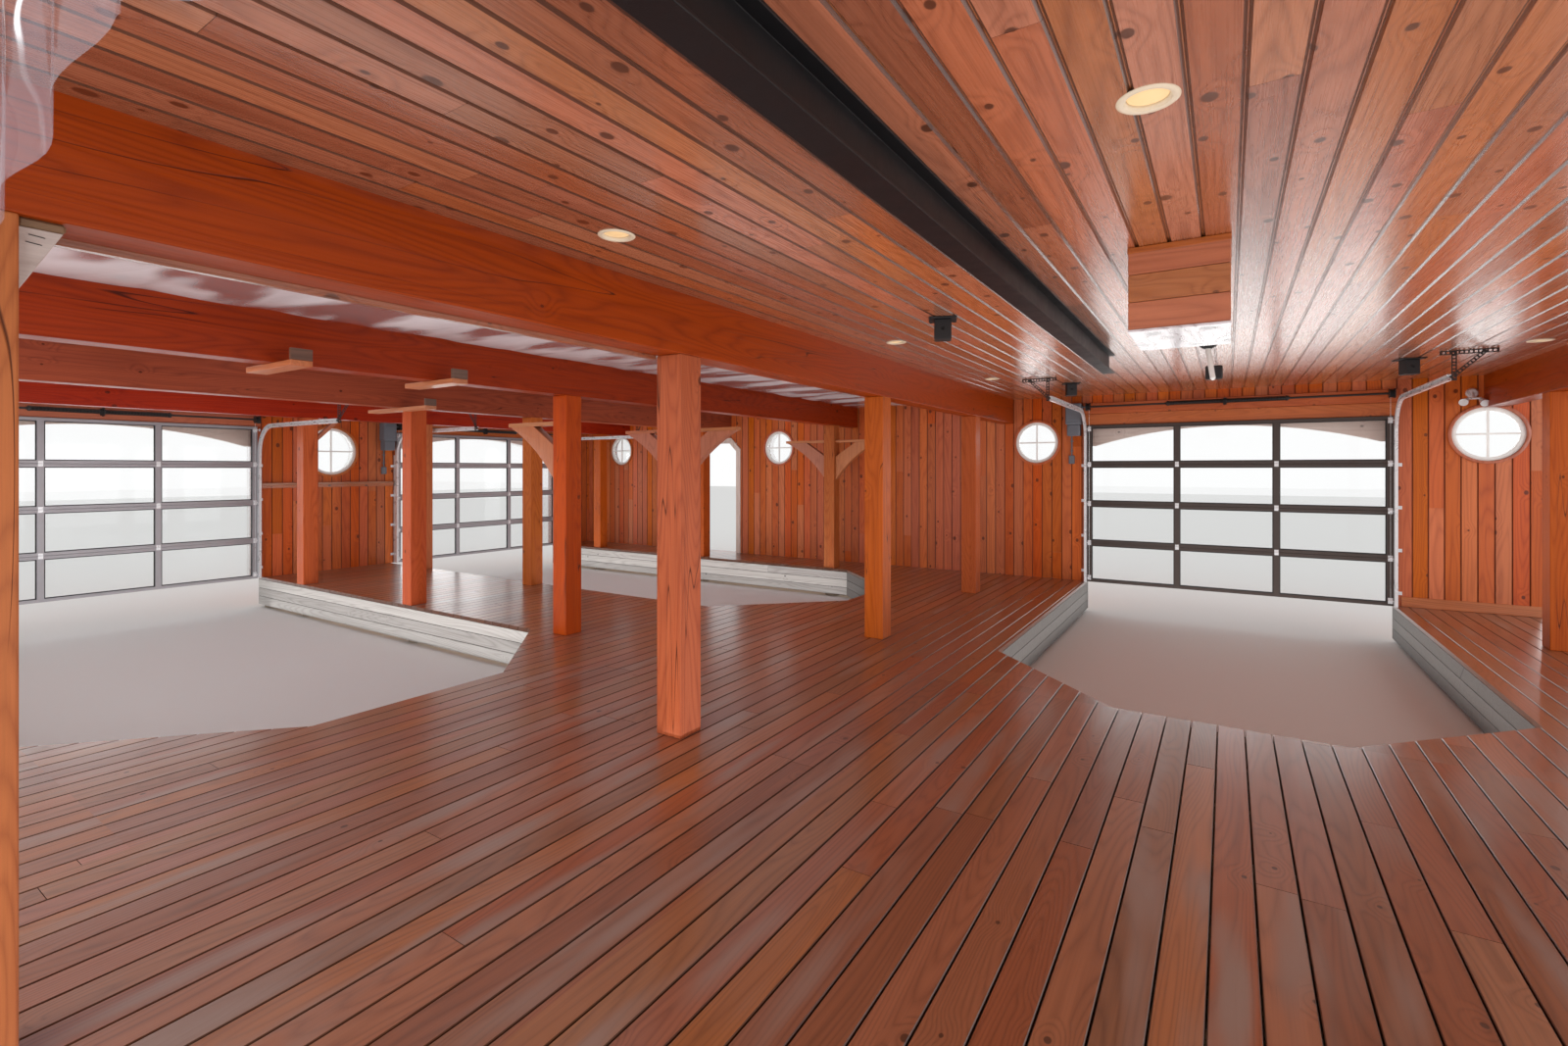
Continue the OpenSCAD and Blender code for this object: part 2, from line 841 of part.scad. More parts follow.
// Strips that hang the end of a track from the ceiling: a drop, a strip on the boards and a brace
module track_hanger(w, up) {
    foot_z = deck_top + up;
    drop = ceiling_z - foot_z;
    lean = strip_l * 0.6;
    translate([w / 2 + track_w, -door_t - track_d - track_r - track_l, foot_z])
    rotate([90, 0, 0])
    mirror([0, 0, 1])
    linear_extrude(strip_t) {
        square([strip_w, drop]);
        translate([-strip_l / 5, drop - strip_w]) square([strip_l, strip_w]);
        polygon([[0, strip_w], [lean, drop], [lean + strip_w, drop], [strip_w, strip_w]]);
    }
}

module track_hangers() {
    color("dimgray") {
        at_first_door() both_sides() track_hanger(side_door_w, side_track_up);
        at_second_door() both_sides() track_hanger(side_door_w, side_track_up);
        at_end_door() both_sides() track_hanger(end_door_w, end_track_up);
    }
}

// Spring shaft of one door with its drums, springs and the bearing plates on the header boards
module spring_shaft(w, up) {
    half = w / 2;
    plate_y = shaft_out + drum_d / 2 - header_t;
    translate([0, -shaft_out, deck_top + up]) {
        translate([-half, 0, 0]) rotate([0, 90, 0]) cylinder(d = shaft_d, h = w);
        both_sides() {
            translate([half - drum_l, 0, 0]) rotate([0, 90, 0]) cylinder(d = drum_d, h = drum_l);
            translate([track_t, 0, 0]) rotate([0, 90, 0]) cylinder(d = spring_d, h = spring_l);
            translate([half, -drum_d / 2, -drum_d / 2]) cube([track_t, plate_y, drum_d]);
        }
        translate([-track_t, -drum_d / 2, -drum_d / 2]) cube([2 * track_t, plate_y, drum_d]);
    }
}

module spring_shafts() {
    color("silver") {
        at_first_door() spring_shaft(side_door_w, side_shaft_up);
        at_second_door() spring_shaft(side_door_w, side_shaft_up);
        at_end_door() spring_shaft(end_door_w, end_shaft_up);
    }
}

// Header boards on the wall over one door, up to the top of the bearing plates
module door_header(w, up) {
    half = w / 2 + header_side;
    block(-half, half, -header_t, 0, door_top + header_gap, deck_top + up + drum_d / 2);
}

module door_headers() {
    color("peru") {
        at_first_door() door_header(side_door_w, side_shaft_up);
        at_second_door() door_header(side_door_w, side_shaft_up);
        at_end_door() door_header(end_door_w, end_shaft_up);
    }
}

// Arched head of one opening, flush with the outer face of the wall
module arched_head(w) {
    half = w / 2;
    arc_r = (half * half + arch_drop * arch_drop) / (2 * arch_drop);
    translate([0, wall_t, opening_top - arch_drop])
    rotate([90, 0, 0])
    linear_extrude(arch_t) difference() {
        translate([-half, 0]) square([w, arch_drop]);
        translate([0, arch_drop - arc_r - arch_crown]) circle(r = arc_r, $fn = 192);
    }
}

module arched_heads() {
    color("saddlebrown") {
        at_first_door() arched_head(side_opening_w);
        at_second_door() arched_head(side_opening_w);
        at_end_door() arched_head(end_opening_w);
    }
}

// A round frame with crossed bars, its inner face on y = 0 and its middle on the y axis
module port_frame(d) {
    rotate([-90, 0, 0]) {
        difference() {
            cylinder(d = d, h = port_frame_t);
            translate([0, 0, -cut]) cylinder(d = d - 2 * port_frame_w, h = port_frame_t + 2 * cut);
        }
        intersection() {
            cylinder(d = d - port_frame_w, h = (port_frame_t - glass_t) / 2);
            union() {
                translate([-d / 2, -port_bar / 2, 0]) cube([d, port_bar, port_frame_t]);
                translate([-port_bar / 2, -d / 2, 0]) cube([port_bar, d, port_frame_t]);
            }
        }
    }
}

// The disc of glass behind the bars
module port_pane(d) {
    translate([0, (port_frame_t - glass_t) / 2, 0])
    rotate([-90, 0, 0])
    cylinder(d = d - 2 * port_frame_w, h = glass_t);
}

// The wooden ring on the inner face of the wall
module port_ring(d) {
    rotate([90, 0, 0]) difference() {
        cylinder(d = d + 2 * ring_w, h = ring_t);
        translate([0, 0, -cut]) cylinder(d = d, h = ring_t + 2 * cut);
    }
}

// Puts a window at every round opening, inner wall face on y = 0
module at_end_ports() {
    for (x = port_xs) translate([x, end_in_y, port_z]) children();
}

module at_side_port() {
    translate([left_in_x, side_port_y, side_port_z]) rotate([0, 0, 90]) children();
}

module window_frames() {
    color("white") {
        at_end_ports() port_frame(port_d);
        at_side_port() port_frame(side_port_d);
    }
}

module window_glass() {
    color("lightblue") {
        at_end_ports() port_pane(port_d);
        at_side_port() port_pane(side_port_d);
    }
}

module window_rings() {
    color("sienna") {
        difference() {
            at_end_ports() port_ring(port_d);
            slip_beams();
            right_beam();
        }
        at_side_port() port_ring(side_port_d);
    }
}

// Outline of the entry head with clipped corners, grown by a margin
module entry_outline(grow) {
    c = entry_clip + grow * (2 - sqrt(2));
    half = entry_w / 2 + grow;
    top = entry_h + grow;
    polygon([[-half, 0], [-half, top - c], [c - half, top], [half - c, top], [half, top - c], [half, 0]]);
}

// Casing round the entry, with a lining through the wall that clips its corners
module entry_casing() {
    color("sienna") translate([entry_x, end_in_y, deck_top]) rotate([90, 0, 0]) {
        linear_extrude(ring_t) difference() {
            entry_outline(casing_w);
            translate([0, -cut]) entry_outline(0);
            translate([-entry_w / 2, -cut]) square([entry_w, 2 * cut]);
        }
        translate([0, 0, -wall_t]) linear_extrude(wall_t) difference() {
            translate([-entry_w / 2, entry_h - entry_clip]) square([entry_w, entry_clip]);
            entry_outline(0);
        }
    }
}

// Joists over the beams, from the left wall to the rim board
module ceiling_joists() {
    ys = steps(open_y + joist_w, end_in_y - joist_w, joist_pitch);
    color("tan")
    for (i = [1:len(ys) - 1])
        block(left_in_x, right_x - joist_w, ys[i], ys[i] + joist_w, joist_z, wall_top);
}

// Rim boards along the two open sides
module rim_boards() {
    color("tan") {
        block(left_in_x, right_x - joist_w - bay_gap, open_y, open_y + joist_w, joist_z, wall_top);
        block(right_x - joist_w, right_x, open_y, end_in_y, joist_z, wall_top);
    }
}

// Places of the recessed lights
// The last place in the middle column has none.
function lamp_places() = [
    for (i = [0:2], j = [0:2])
        if (i != 1 || j != 2) [right_x - lamp_x_in[i], open_y + lamp_y_in[j], ceiling_z]
];

// Boards under the joists, between the beams
module lounge_ceiling() {
    color("peru") {
        difference() {
            block(lounge_x + beam_w / 2, right_row_x - beam_w / 2, open_y, end_in_y, ceiling_z, joist_z);
            at(lamp_places())
            translate([0, 0, -cut])
            cylinder(d = lamp_d - 2 * lamp_ring, h = ceiling_t + 2 * cut);
        }
        block(right_row_x + beam_w / 2, right_x, open_y, end_in_y, ceiling_z, joist_z);
    }
}

module slip_ceiling() {
    edges = concat([lounge_x], slip_rows);
    color("silver") {
        for (i = [0:2])
            block(edges[i + 1] + beam_w / 2, edges[i] - beam_w / 2, open_y, end_in_y, ceiling_z, joist_z);
        block(left_in_x, edges[3] - beam_w / 2, open_y, end_in_y, ceiling_z, joist_z);
    }
}

// A rolled steel rail under the ceiling
module hoist_rail() {
    inner_h = rail_h - 2 * rail_flange;
    color("black")
    translate([right_x - rail_in, open_y + rail_l, ceiling_z - rail_h])
    rotate([90, 0, 0])
    linear_extrude(rail_l) {
        translate([-rail_w / 2, 0]) square([rail_w, rail_flange]);
        translate([-rail_web / 2, rail_flange]) square([rail_web, inner_h]);
        translate([-rail_w / 2, rail_h - rail_flange]) square([rail_w, rail_flange]);
    }
}

module ceiling_box() {
    color("sienna")
    translate([right_x - chest_in, open_y + chest_back, ceiling_z - chest_h])
    cube([chest_w, chest_l, chest_h]);
}

// Lamp cans behind a trim ring
module recessed_lights() {
    can_d = lamp_d - 2 * lamp_ring;
    inner_d = can_d - 2 * lamp_can_t;
    color("ivory") at(lamp_places()) {
        translate([0, 0, -lamp_rim_t]) difference() {
            cylinder(d = lamp_d, h = lamp_rim_t);
            translate([0, 0, -cut]) cylinder(d = inner_d, h = lamp_rim_t + 2 * cut);
        }
        difference() {
            cylinder(d = can_d, h = ceiling_t);
            translate([0, 0, -cut]) cylinder(d = inner_d, h = ceiling_t - lamp_can_t);
        }
    }
}

// Height of the lower edge of the curtain, at a share of its width: a parabola for each swag
function swag_side(s) = 2 * (s * curtain_swags - floor(s * curtain_swags)) - 1;
function curtain_edge(s) = curtain_low + curtain_rise * pow(swag_side(s), 2);

// The space of a clear curtain that is tied up in swags across the open front of the lounge
module clear_curtain() {
    x0 = lounge_x - post_w / 2;
    x1 = right_row_x + post_w / 2;
    n = 8 * curtain_swags;
    edge = [for (i = [0:n]) [x0 + (x1 - x0) * i / n, deck_top + curtain_edge(i / n)]];
    color("whitesmoke")
    translate([0, open_y - curtain_gap, 0])
    rotate([90, 0, 0])
    linear_extrude(curtain_t)
    polygon(concat(edge, [[x1, wall_top - curtain_gap], [x0, wall_top - curtain_gap]]));
}

// Section of the roof from the eave inwards, over a boxed eave that sits on the walls
module roof_section(run) {
    seat = eave_out + wall_t;
    top = roof_z + run * roof_slope;
    polygon([
        [0, wall_top],
        [0, roof_z],
        [run, top],
        [run, top - roof_t],
        [seat, roof_z + seat * roof_slope - roof_t],
        [seat, wall_top]
    ]);
}

// One slope of the roof with its eave on y = 0, mitred at 45 degrees to its neighbours
module slope(eave_l, run) {
    reach = eave_l + run;
    difference() {
        translate([-eave_l / 2, 0, 0]) rotate([90, 0, 90]) linear_extrude(eave_l) roof_section(run);
        for (s = [1, -1])
            scale([s, 1, 1])
            translate([eave_l / 2, 0, 0])
            rotate([0, 0, 45])
            translate([0, -reach, 0])
            cube([reach, 2 * reach, 2 * roof_z + reach]);
    }
}

module roof_front() {
    color("slategray") translate([0, -eave_y, 0]) slope(2 * eave_x, eave_y);
}

module roof_back() {
    color("slategray") rotate([0, 0, 180]) translate([0, -eave_y, 0]) slope(2 * eave_x, eave_y);
}

module roof_left() {
    color("slategray") rotate([0, 0, -90]) translate([0, -eave_x, 0]) slope(2 * eave_y, eave_y + cut);
}

module roof_right() {
    color("slategray") rotate([0, 0, 90]) translate([0, -eave_x, 0]) slope(2 * eave_y, eave_y + cut);
}

piles();
dock_frame();
front_walk();
slip_head_deck();
middle_walk();
back_walk();
lounge_deck();
end_slip_deck();
right_walk();
corner_decks();
first_slip_skirt();
second_slip_skirt();
end_slip_skirt();
lounge_posts();
slip_posts();
right_posts();
lounge_beam();
slip_beams();
right_beam();
rack_arms();
curved_braces();
beam_arms();
beam_wedge();
knee_brace();
left_wall_front();
left_wall_middle();
left_wall_back();
left_wall_headers();
end_wall_left();
end_wall_middle();
end_wall_right();
end_wall_headers();
first_door();
second_door();
end_door();
door_glass();
first_door_tracks();
second_door_tracks();
end_door_tracks();
track_hangers();
spring_shafts();
arched_heads();
door_headers();
window_frames();
window_glass();
window_rings();
entry_casing();
ceiling_joists();
rim_boards();
lounge_ceiling();
slip_ceiling();
hoist_rail();
ceiling_box();
recessed_lights();
clear_curtain();
roof_front();
roof_back();
roof_left();
roof_right();
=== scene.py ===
import math
import random

import bmesh
import bpy
from mathutils import Euler, Matrix, Vector, noise


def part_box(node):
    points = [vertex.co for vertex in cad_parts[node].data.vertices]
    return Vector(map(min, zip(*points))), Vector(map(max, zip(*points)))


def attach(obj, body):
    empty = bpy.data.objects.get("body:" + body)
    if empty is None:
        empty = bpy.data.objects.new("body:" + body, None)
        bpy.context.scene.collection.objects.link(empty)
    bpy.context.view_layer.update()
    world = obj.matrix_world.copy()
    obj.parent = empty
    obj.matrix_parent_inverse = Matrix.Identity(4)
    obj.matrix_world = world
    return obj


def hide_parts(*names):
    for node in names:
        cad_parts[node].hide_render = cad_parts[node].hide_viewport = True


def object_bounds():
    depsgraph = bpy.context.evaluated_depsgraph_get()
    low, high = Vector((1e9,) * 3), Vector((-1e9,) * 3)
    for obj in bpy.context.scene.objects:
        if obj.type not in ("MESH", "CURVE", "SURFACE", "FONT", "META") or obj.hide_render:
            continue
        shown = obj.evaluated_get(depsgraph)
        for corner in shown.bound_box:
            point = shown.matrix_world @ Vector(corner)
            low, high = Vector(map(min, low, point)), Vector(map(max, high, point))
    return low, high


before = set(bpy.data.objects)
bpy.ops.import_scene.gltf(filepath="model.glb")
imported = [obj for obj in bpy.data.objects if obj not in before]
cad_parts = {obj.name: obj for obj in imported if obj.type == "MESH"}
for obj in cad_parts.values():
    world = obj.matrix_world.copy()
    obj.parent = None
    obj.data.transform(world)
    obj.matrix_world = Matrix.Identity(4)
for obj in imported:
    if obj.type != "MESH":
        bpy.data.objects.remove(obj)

# The boathouse's looks: boards, timbers, door gear, windows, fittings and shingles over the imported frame.
# Metres, z = 0 at the water, +Y towards the end wall.

CAD_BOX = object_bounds()
SCENE = bpy.context.scene
MERGE = 0.00002


def low(node):
    return Vector(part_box(node)[0])


def high(node):
    return Vector(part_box(node)[1])


def node_middle(node, axis):
    return (getattr(low(node), axis) + getattr(high(node), axis)) / 2


def node_span(node, axis):
    return getattr(high(node), axis) - getattr(low(node), axis)


def moved_by(x, y, z):
    return Matrix.Translation((x, y, z))


def turn_about(axis, degrees):
    return Matrix.Rotation(math.radians(degrees), 4, axis)


def mirrored(side):
    """Nothing for side 1, the mirror image across x = 0 for side -1."""
    return Matrix.Diagonal((side, 1.0, 1.0, 1.0))


# Places that many pieces share, read from the frame
DECK_TOP = high("lounge_deck").z
LEFT_WALL_X = high("left_wall_middle").x
END_WALL_Y = low("end_wall_middle").y
OPEN_Y = low("front_walk").y
CEILING_Z = low("lounge_ceiling").z
BEAM_Z = low("lounge_beam").z
DOOR_W, DOOR_T, DOOR_H = (node_span("end_door", axis) for axis in "xyz")

# Sizes of the doors and their gear, as in the part's source
DOOR_ROWS = 4
DOOR_COLS = 3
DOOR_STILE = 0.062
DOOR_RAIL = 0.040
SECTION_H = DOOR_H / DOOR_ROWS
PANE_W = (DOOR_W - (DOOR_COLS + 1) * DOOR_STILE) / DOOR_COLS
PANE_H = SECTION_H - 2 * DOOR_RAIL
TRACK_W = 0.030
TRACK_D = 0.056
TRACK_R = 0.360
TRACK_L = 1.900
SHAFT_OUT = 0.092
SHAFT_R = 0.013
SIDE_SHAFT_UP = 2.320
END_SHAFT_UP = 2.480
DRUM_R = 0.056
DRUM_L = 0.050
SPRING_R = 0.029
SPRING_L = 0.620
HEADER_T = 0.030

# Each door's place: a matrix from "door in the end wall, middle on x = 0, wall face on y = 0",
# the foot of its level tracks and the height of its spring shaft
DOORS = {}
for door, x, y, turn, shaft_up in [
        ("first", LEFT_WALL_X, node_middle("first_door", "y"), 90.0, SIDE_SHAFT_UP),
        ("second", LEFT_WALL_X, node_middle("second_door", "y"), 90.0, SIDE_SHAFT_UP),
        ("end", node_middle("end_door", "x"), END_WALL_Y, 0.0, END_SHAFT_UP)]:
    tracks_foot = high(door + "_door_tracks").z - TRACK_D
    DOORS[door] = (moved_by(x, y, 0.0) @ turn_about("Z", turn), tracks_foot, DECK_TOP + shaft_up)

# Camera, matched to the photograph: a level view from the open side
camera = bpy.data.objects.new("camera", bpy.data.cameras.new("camera"))
camera.data.sensor_width = 36.0
camera.data.lens = 15.889
camera.data.shift_y = -0.0344
camera.data.clip_start = 0.02
camera.data.clip_end = 200.0
camera.location = (4.66, -5.50, 2.05)
camera.rotation_euler = (math.radians(90.0), 0.0, math.radians(32.67))
SCENE.collection.objects.link(camera)
SCENE.camera = camera
SCENE.view_settings.view_transform = "Standard"


class Graph:
    """Short calls that add nodes to a shader tree or a geometry tree and return their outputs."""

    def __init__(self, tree):
        self.tree = tree

    def put(self, socket, value):
        if isinstance(value, bpy.types.NodeSocket):
            self.tree.links.new(value, socket)
        elif value is not None:
            socket.default_value = value

    def put_all(self, node, inputs):
        for key, value in inputs.items():
            self.put(node.inputs[key], value)

    def node(self, kind, inputs=None, **settings):
        made = self.tree.nodes.new(kind)
        for name, value in settings.items():
            setattr(made, name, value)
        self.put_all(made, inputs or {})
        return made

    def out(self, kind, inputs=None, **settings):
        return self.node(kind, inputs, **settings).outputs[0]

    def calc(self, operation, a, b=None):
        made = self.node("ShaderNodeMath", operation=operation)
        for socket, value in zip(made.inputs, (a, b)):
            self.put(socket, value)
        return made.outputs[0]

    def add(self, a, b):
        return self.calc("ADD", a, b)

    def sub(self, a, b):
        return self.calc("SUBTRACT", a, b)

    def mul(self, a, b):
        return self.calc("MULTIPLY", a, b)

    def div(self, a, b):
        return self.calc("DIVIDE", a, b)

    def vec(self, operation, a, b=None, scale=None):
        made = self.node("ShaderNodeVectorMath", operation=operation)
        self.put(made.inputs[0], a)
        self.put(made.inputs[1], b)
        if scale is not None:
            self.put(made.inputs["Scale"], scale)
        return made.outputs[0]

    def split(self, vector):
        return self.node("ShaderNodeSeparateXYZ", {0: vector}).outputs

    def join(self, x, y, z):
        return self.out("ShaderNodeCombineXYZ", {0: x, 1: y, 2: z})

    def noise(self, vector, scale=1.0, detail=2.0, roughness=0.5, distortion=0.0):
        return self.out("ShaderNodeTexNoise", {"Vector": vector, "Scale": scale, "Detail": detail,
                                               "Roughness": roughness, "Distortion": distortion})

    def ramp(self, value, a0, a1, b0=0.0, b1=1.0, smooth=True):
        kind = "SMOOTHSTEP" if smooth else "LINEAR"
        inputs = {0: value, 1: a0, 2: a1, 3: b0, 4: b1}
        return self.out("ShaderNodeMapRange", inputs, interpolation_type=kind, clamp=True)

    def mix(self, factor, a, b):
        made = self.node("ShaderNodeMix", data_type="RGBA")
        self.put_all(made, {0: factor, 6: a, 7: b})
        return made.outputs[2]

    def attribute(self, name):
        return self.node("ShaderNodeAttribute", attribute_name=name).outputs["Fac"]

    # For geometry trees only

    def line_of_points(self, count, step, start=None):
        return self.out("GeometryNodeMeshLine", {"Count": count, "Start Location": start, "Offset": step})

    def copies(self, points, part, **more):
        return self.out("GeometryNodeInstanceOnPoints", {0: points, "Instance": part, **more})

    def realized(self, geometry):
        return self.out("GeometryNodeRealizeInstances", {0: geometry})

    def moved(self, geometry, position=None, offset=None):
        return self.out("GeometryNodeSetPosition", {0: geometry, "Position": position, "Offset": offset})

    def boolean(self, operation, *parts):
        made = self.node("GeometryNodeMeshBoolean", operation=operation, solver="MANIFOLD")
        for part in parts:
            self.put(made.inputs[1], part)
        return made.outputs[0]

    def greater(self, a, b):
        return self.out("FunctionNodeCompare", {0: a, 1: b}, operation="GREATER_THAN", data_type="FLOAT")

    def random(self, low_end, high_end, number, seed):
        inputs = {2: low_end, 3: high_end, "ID": number, "Seed": seed}
        return self.node("FunctionNodeRandomValue", inputs, data_type="FLOAT").outputs[1]

    def stored(self, geometry, name, value, domain):
        inputs = {0: geometry, "Name": name, "Value": value}
        return self.out("GeometryNodeStoreNamedAttribute", inputs, data_type="FLOAT", domain=domain)


def opaque(colour):
    return (*colour, 1.0)


def shade(colour, share):
    return opaque(tuple(share * c for c in colour))


def new_material(name):
    material = bpy.data.materials.new(name)
    material.use_nodes = True
    return material, Graph(material.node_tree), material.node_tree.nodes["Principled BSDF"]


def object_place(graph):
    return graph.node("ShaderNodeTexCoord").outputs["Object"]


def relief(graph, shader, height, distance, strength=1.0):
    bump = graph.out("ShaderNodeBump", {"Strength": strength, "Distance": distance, "Height": height})
    graph.put(shader.inputs["Normal"], bump)


# Timber: every board and post has its own tone, growth rings, fibres and knots.
# The number "piece" on the mesh tells one board from the next.
def timber(name, along, pale, dark, tone=0.25, hue=0.02, rings=30.0, figure=0.5, knots=0.3, knot_size=0.012,
           rough=0.45, coat=0.0, coat_rough=0.15, bumps=0.5, cracks=0.0, fade=None, fade_share=0.0,
           coat_ior=1.5, shine=0.5):
    material, g, shader = new_material(name)
    many = 91.7
    luck = g.node("ShaderNodeTexWhiteNoise", {"W": g.mul(g.attribute("piece"), many)},
                  noise_dimensions="1D").outputs["Color"]
    luck_r, luck_g, luck_b = g.node("ShaderNodeSeparateColor", {0: luck}).outputs
    x, y, z = g.split(object_place(g))
    a, u, v = {"X": (x, y, z), "Y": (y, x, z), "Z": (z, x, y)}[along]
    apart = g.vec("SCALE", luck, scale=31.0)
    here = g.vec("ADD", g.join(a, u, v), apart)
    fine = g.noise(g.vec("MULTIPLY", here, (3.0, 160.0, 160.0)), detail=2.0, roughness=0.6)
    streak = g.noise(g.vec("MULTIPLY", here, (0.55, 24.0, 24.0)), detail=2.0)
    body = g.noise(g.vec("MULTIPLY", here, (0.32, 3.4, 3.4)), detail=1.5, distortion=0.15)
    # Knots lie on the board's face: across it, both cross directions count as one
    knots_along, knots_across, knot_length = 1.9, 6.5, 0.75
    ax, ux, vx = g.split(here)
    face = g.join(g.mul(ax, knots_along), g.mul(g.add(ux, vx), knots_across), 0.0)
    cells = g.node("ShaderNodeTexVoronoi", {"Vector": face, "Scale": 1.0}, voronoi_dimensions="2D",
                   feature="F1")
    off = g.vec("SUBTRACT", cells.outputs["Position"], face)
    off_a, off_w, _ = g.split(g.vec("MULTIPLY", off, (knot_length / knots_along, 1.0 / knots_across, 0.0)))
    distance = g.calc("SQRT", g.add(g.mul(off_a, off_a), g.mul(off_w, off_w)))
    size_luck, there_luck, _ = g.node("ShaderNodeSeparateColor", {0: cells.outputs["Color"]}).outputs
    there = g.calc("LESS_THAN", there_luck, knots)
    radius = g.mul(g.add(0.35, size_luck), knot_size)
    knot = g.mul(there, g.ramp(g.div(distance, radius), 1.15, 0.75))
    halo = g.mul(there, g.ramp(distance, 0.09, 0.0))
    ring = g.calc("PINGPONG", g.add(g.mul(g.add(body, g.mul(halo, 0.07)), rings), g.mul(fine, 0.25)), 0.5)
    late = g.calc("POWER", g.mul(ring, 2.0), 2.2)
    share = g.add(g.mul(late, figure), g.mul(g.sub(streak, 0.42), 0.9))
    colour = g.mix(g.ramp(share, 0.0, 1.0, smooth=False), opaque(pale), opaque(dark))
    level = g.add(g.add(1.0, g.mul(g.sub(luck_b, 0.5), 2.0 * tone)), g.mul(g.sub(fine, 0.5), 0.35))
    turned = g.out("ShaderNodeHueSaturation", {
        "Hue": g.add(0.5, g.mul(g.sub(luck_r, 0.5), hue)),
        "Saturation": g.add(1.0, g.mul(g.sub(luck_g, 0.5), 0.14)),
        "Value": level, "Color": colour})
    if fade is not None:
        worn = g.noise(g.vec("MULTIPLY", here, (0.8, 5.0, 5.0)), detail=2.0)
        turned = g.mix(g.ramp(worn, 0.62 - fade_share, 0.85 - fade_share), turned, opaque(fade))
    # Painted shade in the joints between boards: the faces that lie in them are darkened towards the dark
    # tone
    turned = g.mix(g.mul(g.attribute("groove"), 0.8), turned, shade(dark, 0.34))
    turned = g.mix(g.mul(knot, 0.85), turned, shade(dark, 0.30))
    height = g.add(g.mul(fine, 0.5), g.mul(late, 0.35))
    if cracks:
        seam = g.noise(g.vec("MULTIPLY", here, (0.35, 9.0, 9.0)), detail=1.0)
        thin = g.ramp(g.calc("ABSOLUTE", g.sub(seam, 0.5)), 0.006, 0.0)
        where = g.noise(g.vec("MULTIPLY", here, (0.7, 2.0, 2.0)))
        crack = g.mul(thin, g.ramp(where, 0.62 - 0.2 * cracks, 0.70 - 0.2 * cracks))
        turned = g.mix(g.mul(crack, 0.9), turned, shade(dark, 0.18))
        height = g.sub(height, g.mul(crack, 2.5))
    g.put_all(shader, {
        "Base Color": turned, "Roughness": g.add(rough - 0.08, g.mul(g.add(fine, g.mul(knot, 0.3)), 0.16)),
        "Coat Weight": coat, "Coat Roughness": coat_rough, "Coat IOR": coat_ior,
        "Specular IOR Level": shine})
    relief(g, shader, g.sub(height, g.mul(knot, 0.2)), 0.0016, bumps)
    return material


# Painted and bare metal: slight mottling and fine scratches
def metal(name, colour, rough, metallic=0.0, mottle=0.12, coat=0.0, scratches=0.3):
    material, g, shader = new_material(name)
    place = object_place(g)
    cloud = g.noise(place, scale=9.0, detail=5.0, roughness=0.6)
    fine = g.noise(g.vec("MULTIPLY", place, (260.0, 260.0, 35.0)), detail=2.0)
    level = g.add(1.0 - mottle / 2, g.mul(cloud, mottle))
    tone = g.out("ShaderNodeHueSaturation", {"Value": level, "Color": opaque(colour)})
    spread = g.add(g.mul(g.sub(cloud, 0.5), 0.25), g.mul(g.sub(fine, 0.5), 0.12))
    g.put_all(shader, {"Base Color": tone, "Roughness": g.add(rough, spread), "Metallic": metallic,
                       "Coat Weight": coat})
    relief(g, shader, fine, 0.0004, scratches)
    return material


# Window glass: faint waves, and partly see-through so that it lets the lamps' light in
def clear_glass(name, tint):
    material, g, shader = new_material(name)
    waves = g.noise(object_place(g), scale=2.2, detail=1.0)
    relief(g, shader, waves, 0.004, 0.15)
    g.put_all(shader, {"Base Color": opaque(tint), "Roughness": g.add(0.02, g.mul(waves, 0.02)),
                       "Transmission Weight": 1.0, "IOR": 1.45, "Alpha": 0.3})
    return material


def glowing(name, colour, strength):
    material, g, shader = new_material(name)
    grain = g.noise(object_place(g), scale=60.0, detail=1.0)
    g.put_all(shader, {"Base Color": opaque(colour), "Roughness": g.add(0.25, g.mul(grain, 0.2)),
                       "Emission Color": opaque(colour), "Emission Strength": strength})
    return material


# Clear rolled sheet: nearly invisible between its folds and a little milky in patches. Along the folds runs
# a painted highlight, white and nearly opaque, that stands in for the light the creases reflect
def clear_film(name):
    material, g, shader = new_material(name)
    x, _, z = g.split(object_place(g))
    wander = g.noise(g.join(g.mul(x, 1.6), 0.0, g.mul(z, 4.0)), detail=2.0)
    ridge = g.calc("PINGPONG", g.add(g.mul(x, 9.0), g.mul(wander, 4.5)), 0.5)
    broken = g.ramp(g.noise(g.join(g.mul(x, 3.0), 0.0, g.mul(z, 5.0)), detail=1.0), 0.46, 0.62)
    # Painted highlight along the creases: white base colour, made nearly opaque
    painted_crease_highlight = g.mul(g.ramp(ridge, 0.40, 0.48), broken)
    haze = g.noise(g.join(g.mul(x, 4.0), 0.0, g.mul(z, 3.0)), detail=4.0, distortion=0.8)
    g.put_all(shader, {
        "Base Color": g.mix(painted_crease_highlight, opaque((0.36, 0.36, 0.42)), opaque((1.0, 1.0, 1.0))),
        "Roughness": g.add(0.07, g.mul(haze, 0.10)),
        "Alpha": g.add(g.add(0.22, g.mul(painted_crease_highlight, 0.74)), g.mul(g.ramp(haze, 0.50, 0.75), 0.25))})
    relief(g, shader, g.add(ridge, g.mul(haze, 0.4)), 0.02, 0.6)
    return material


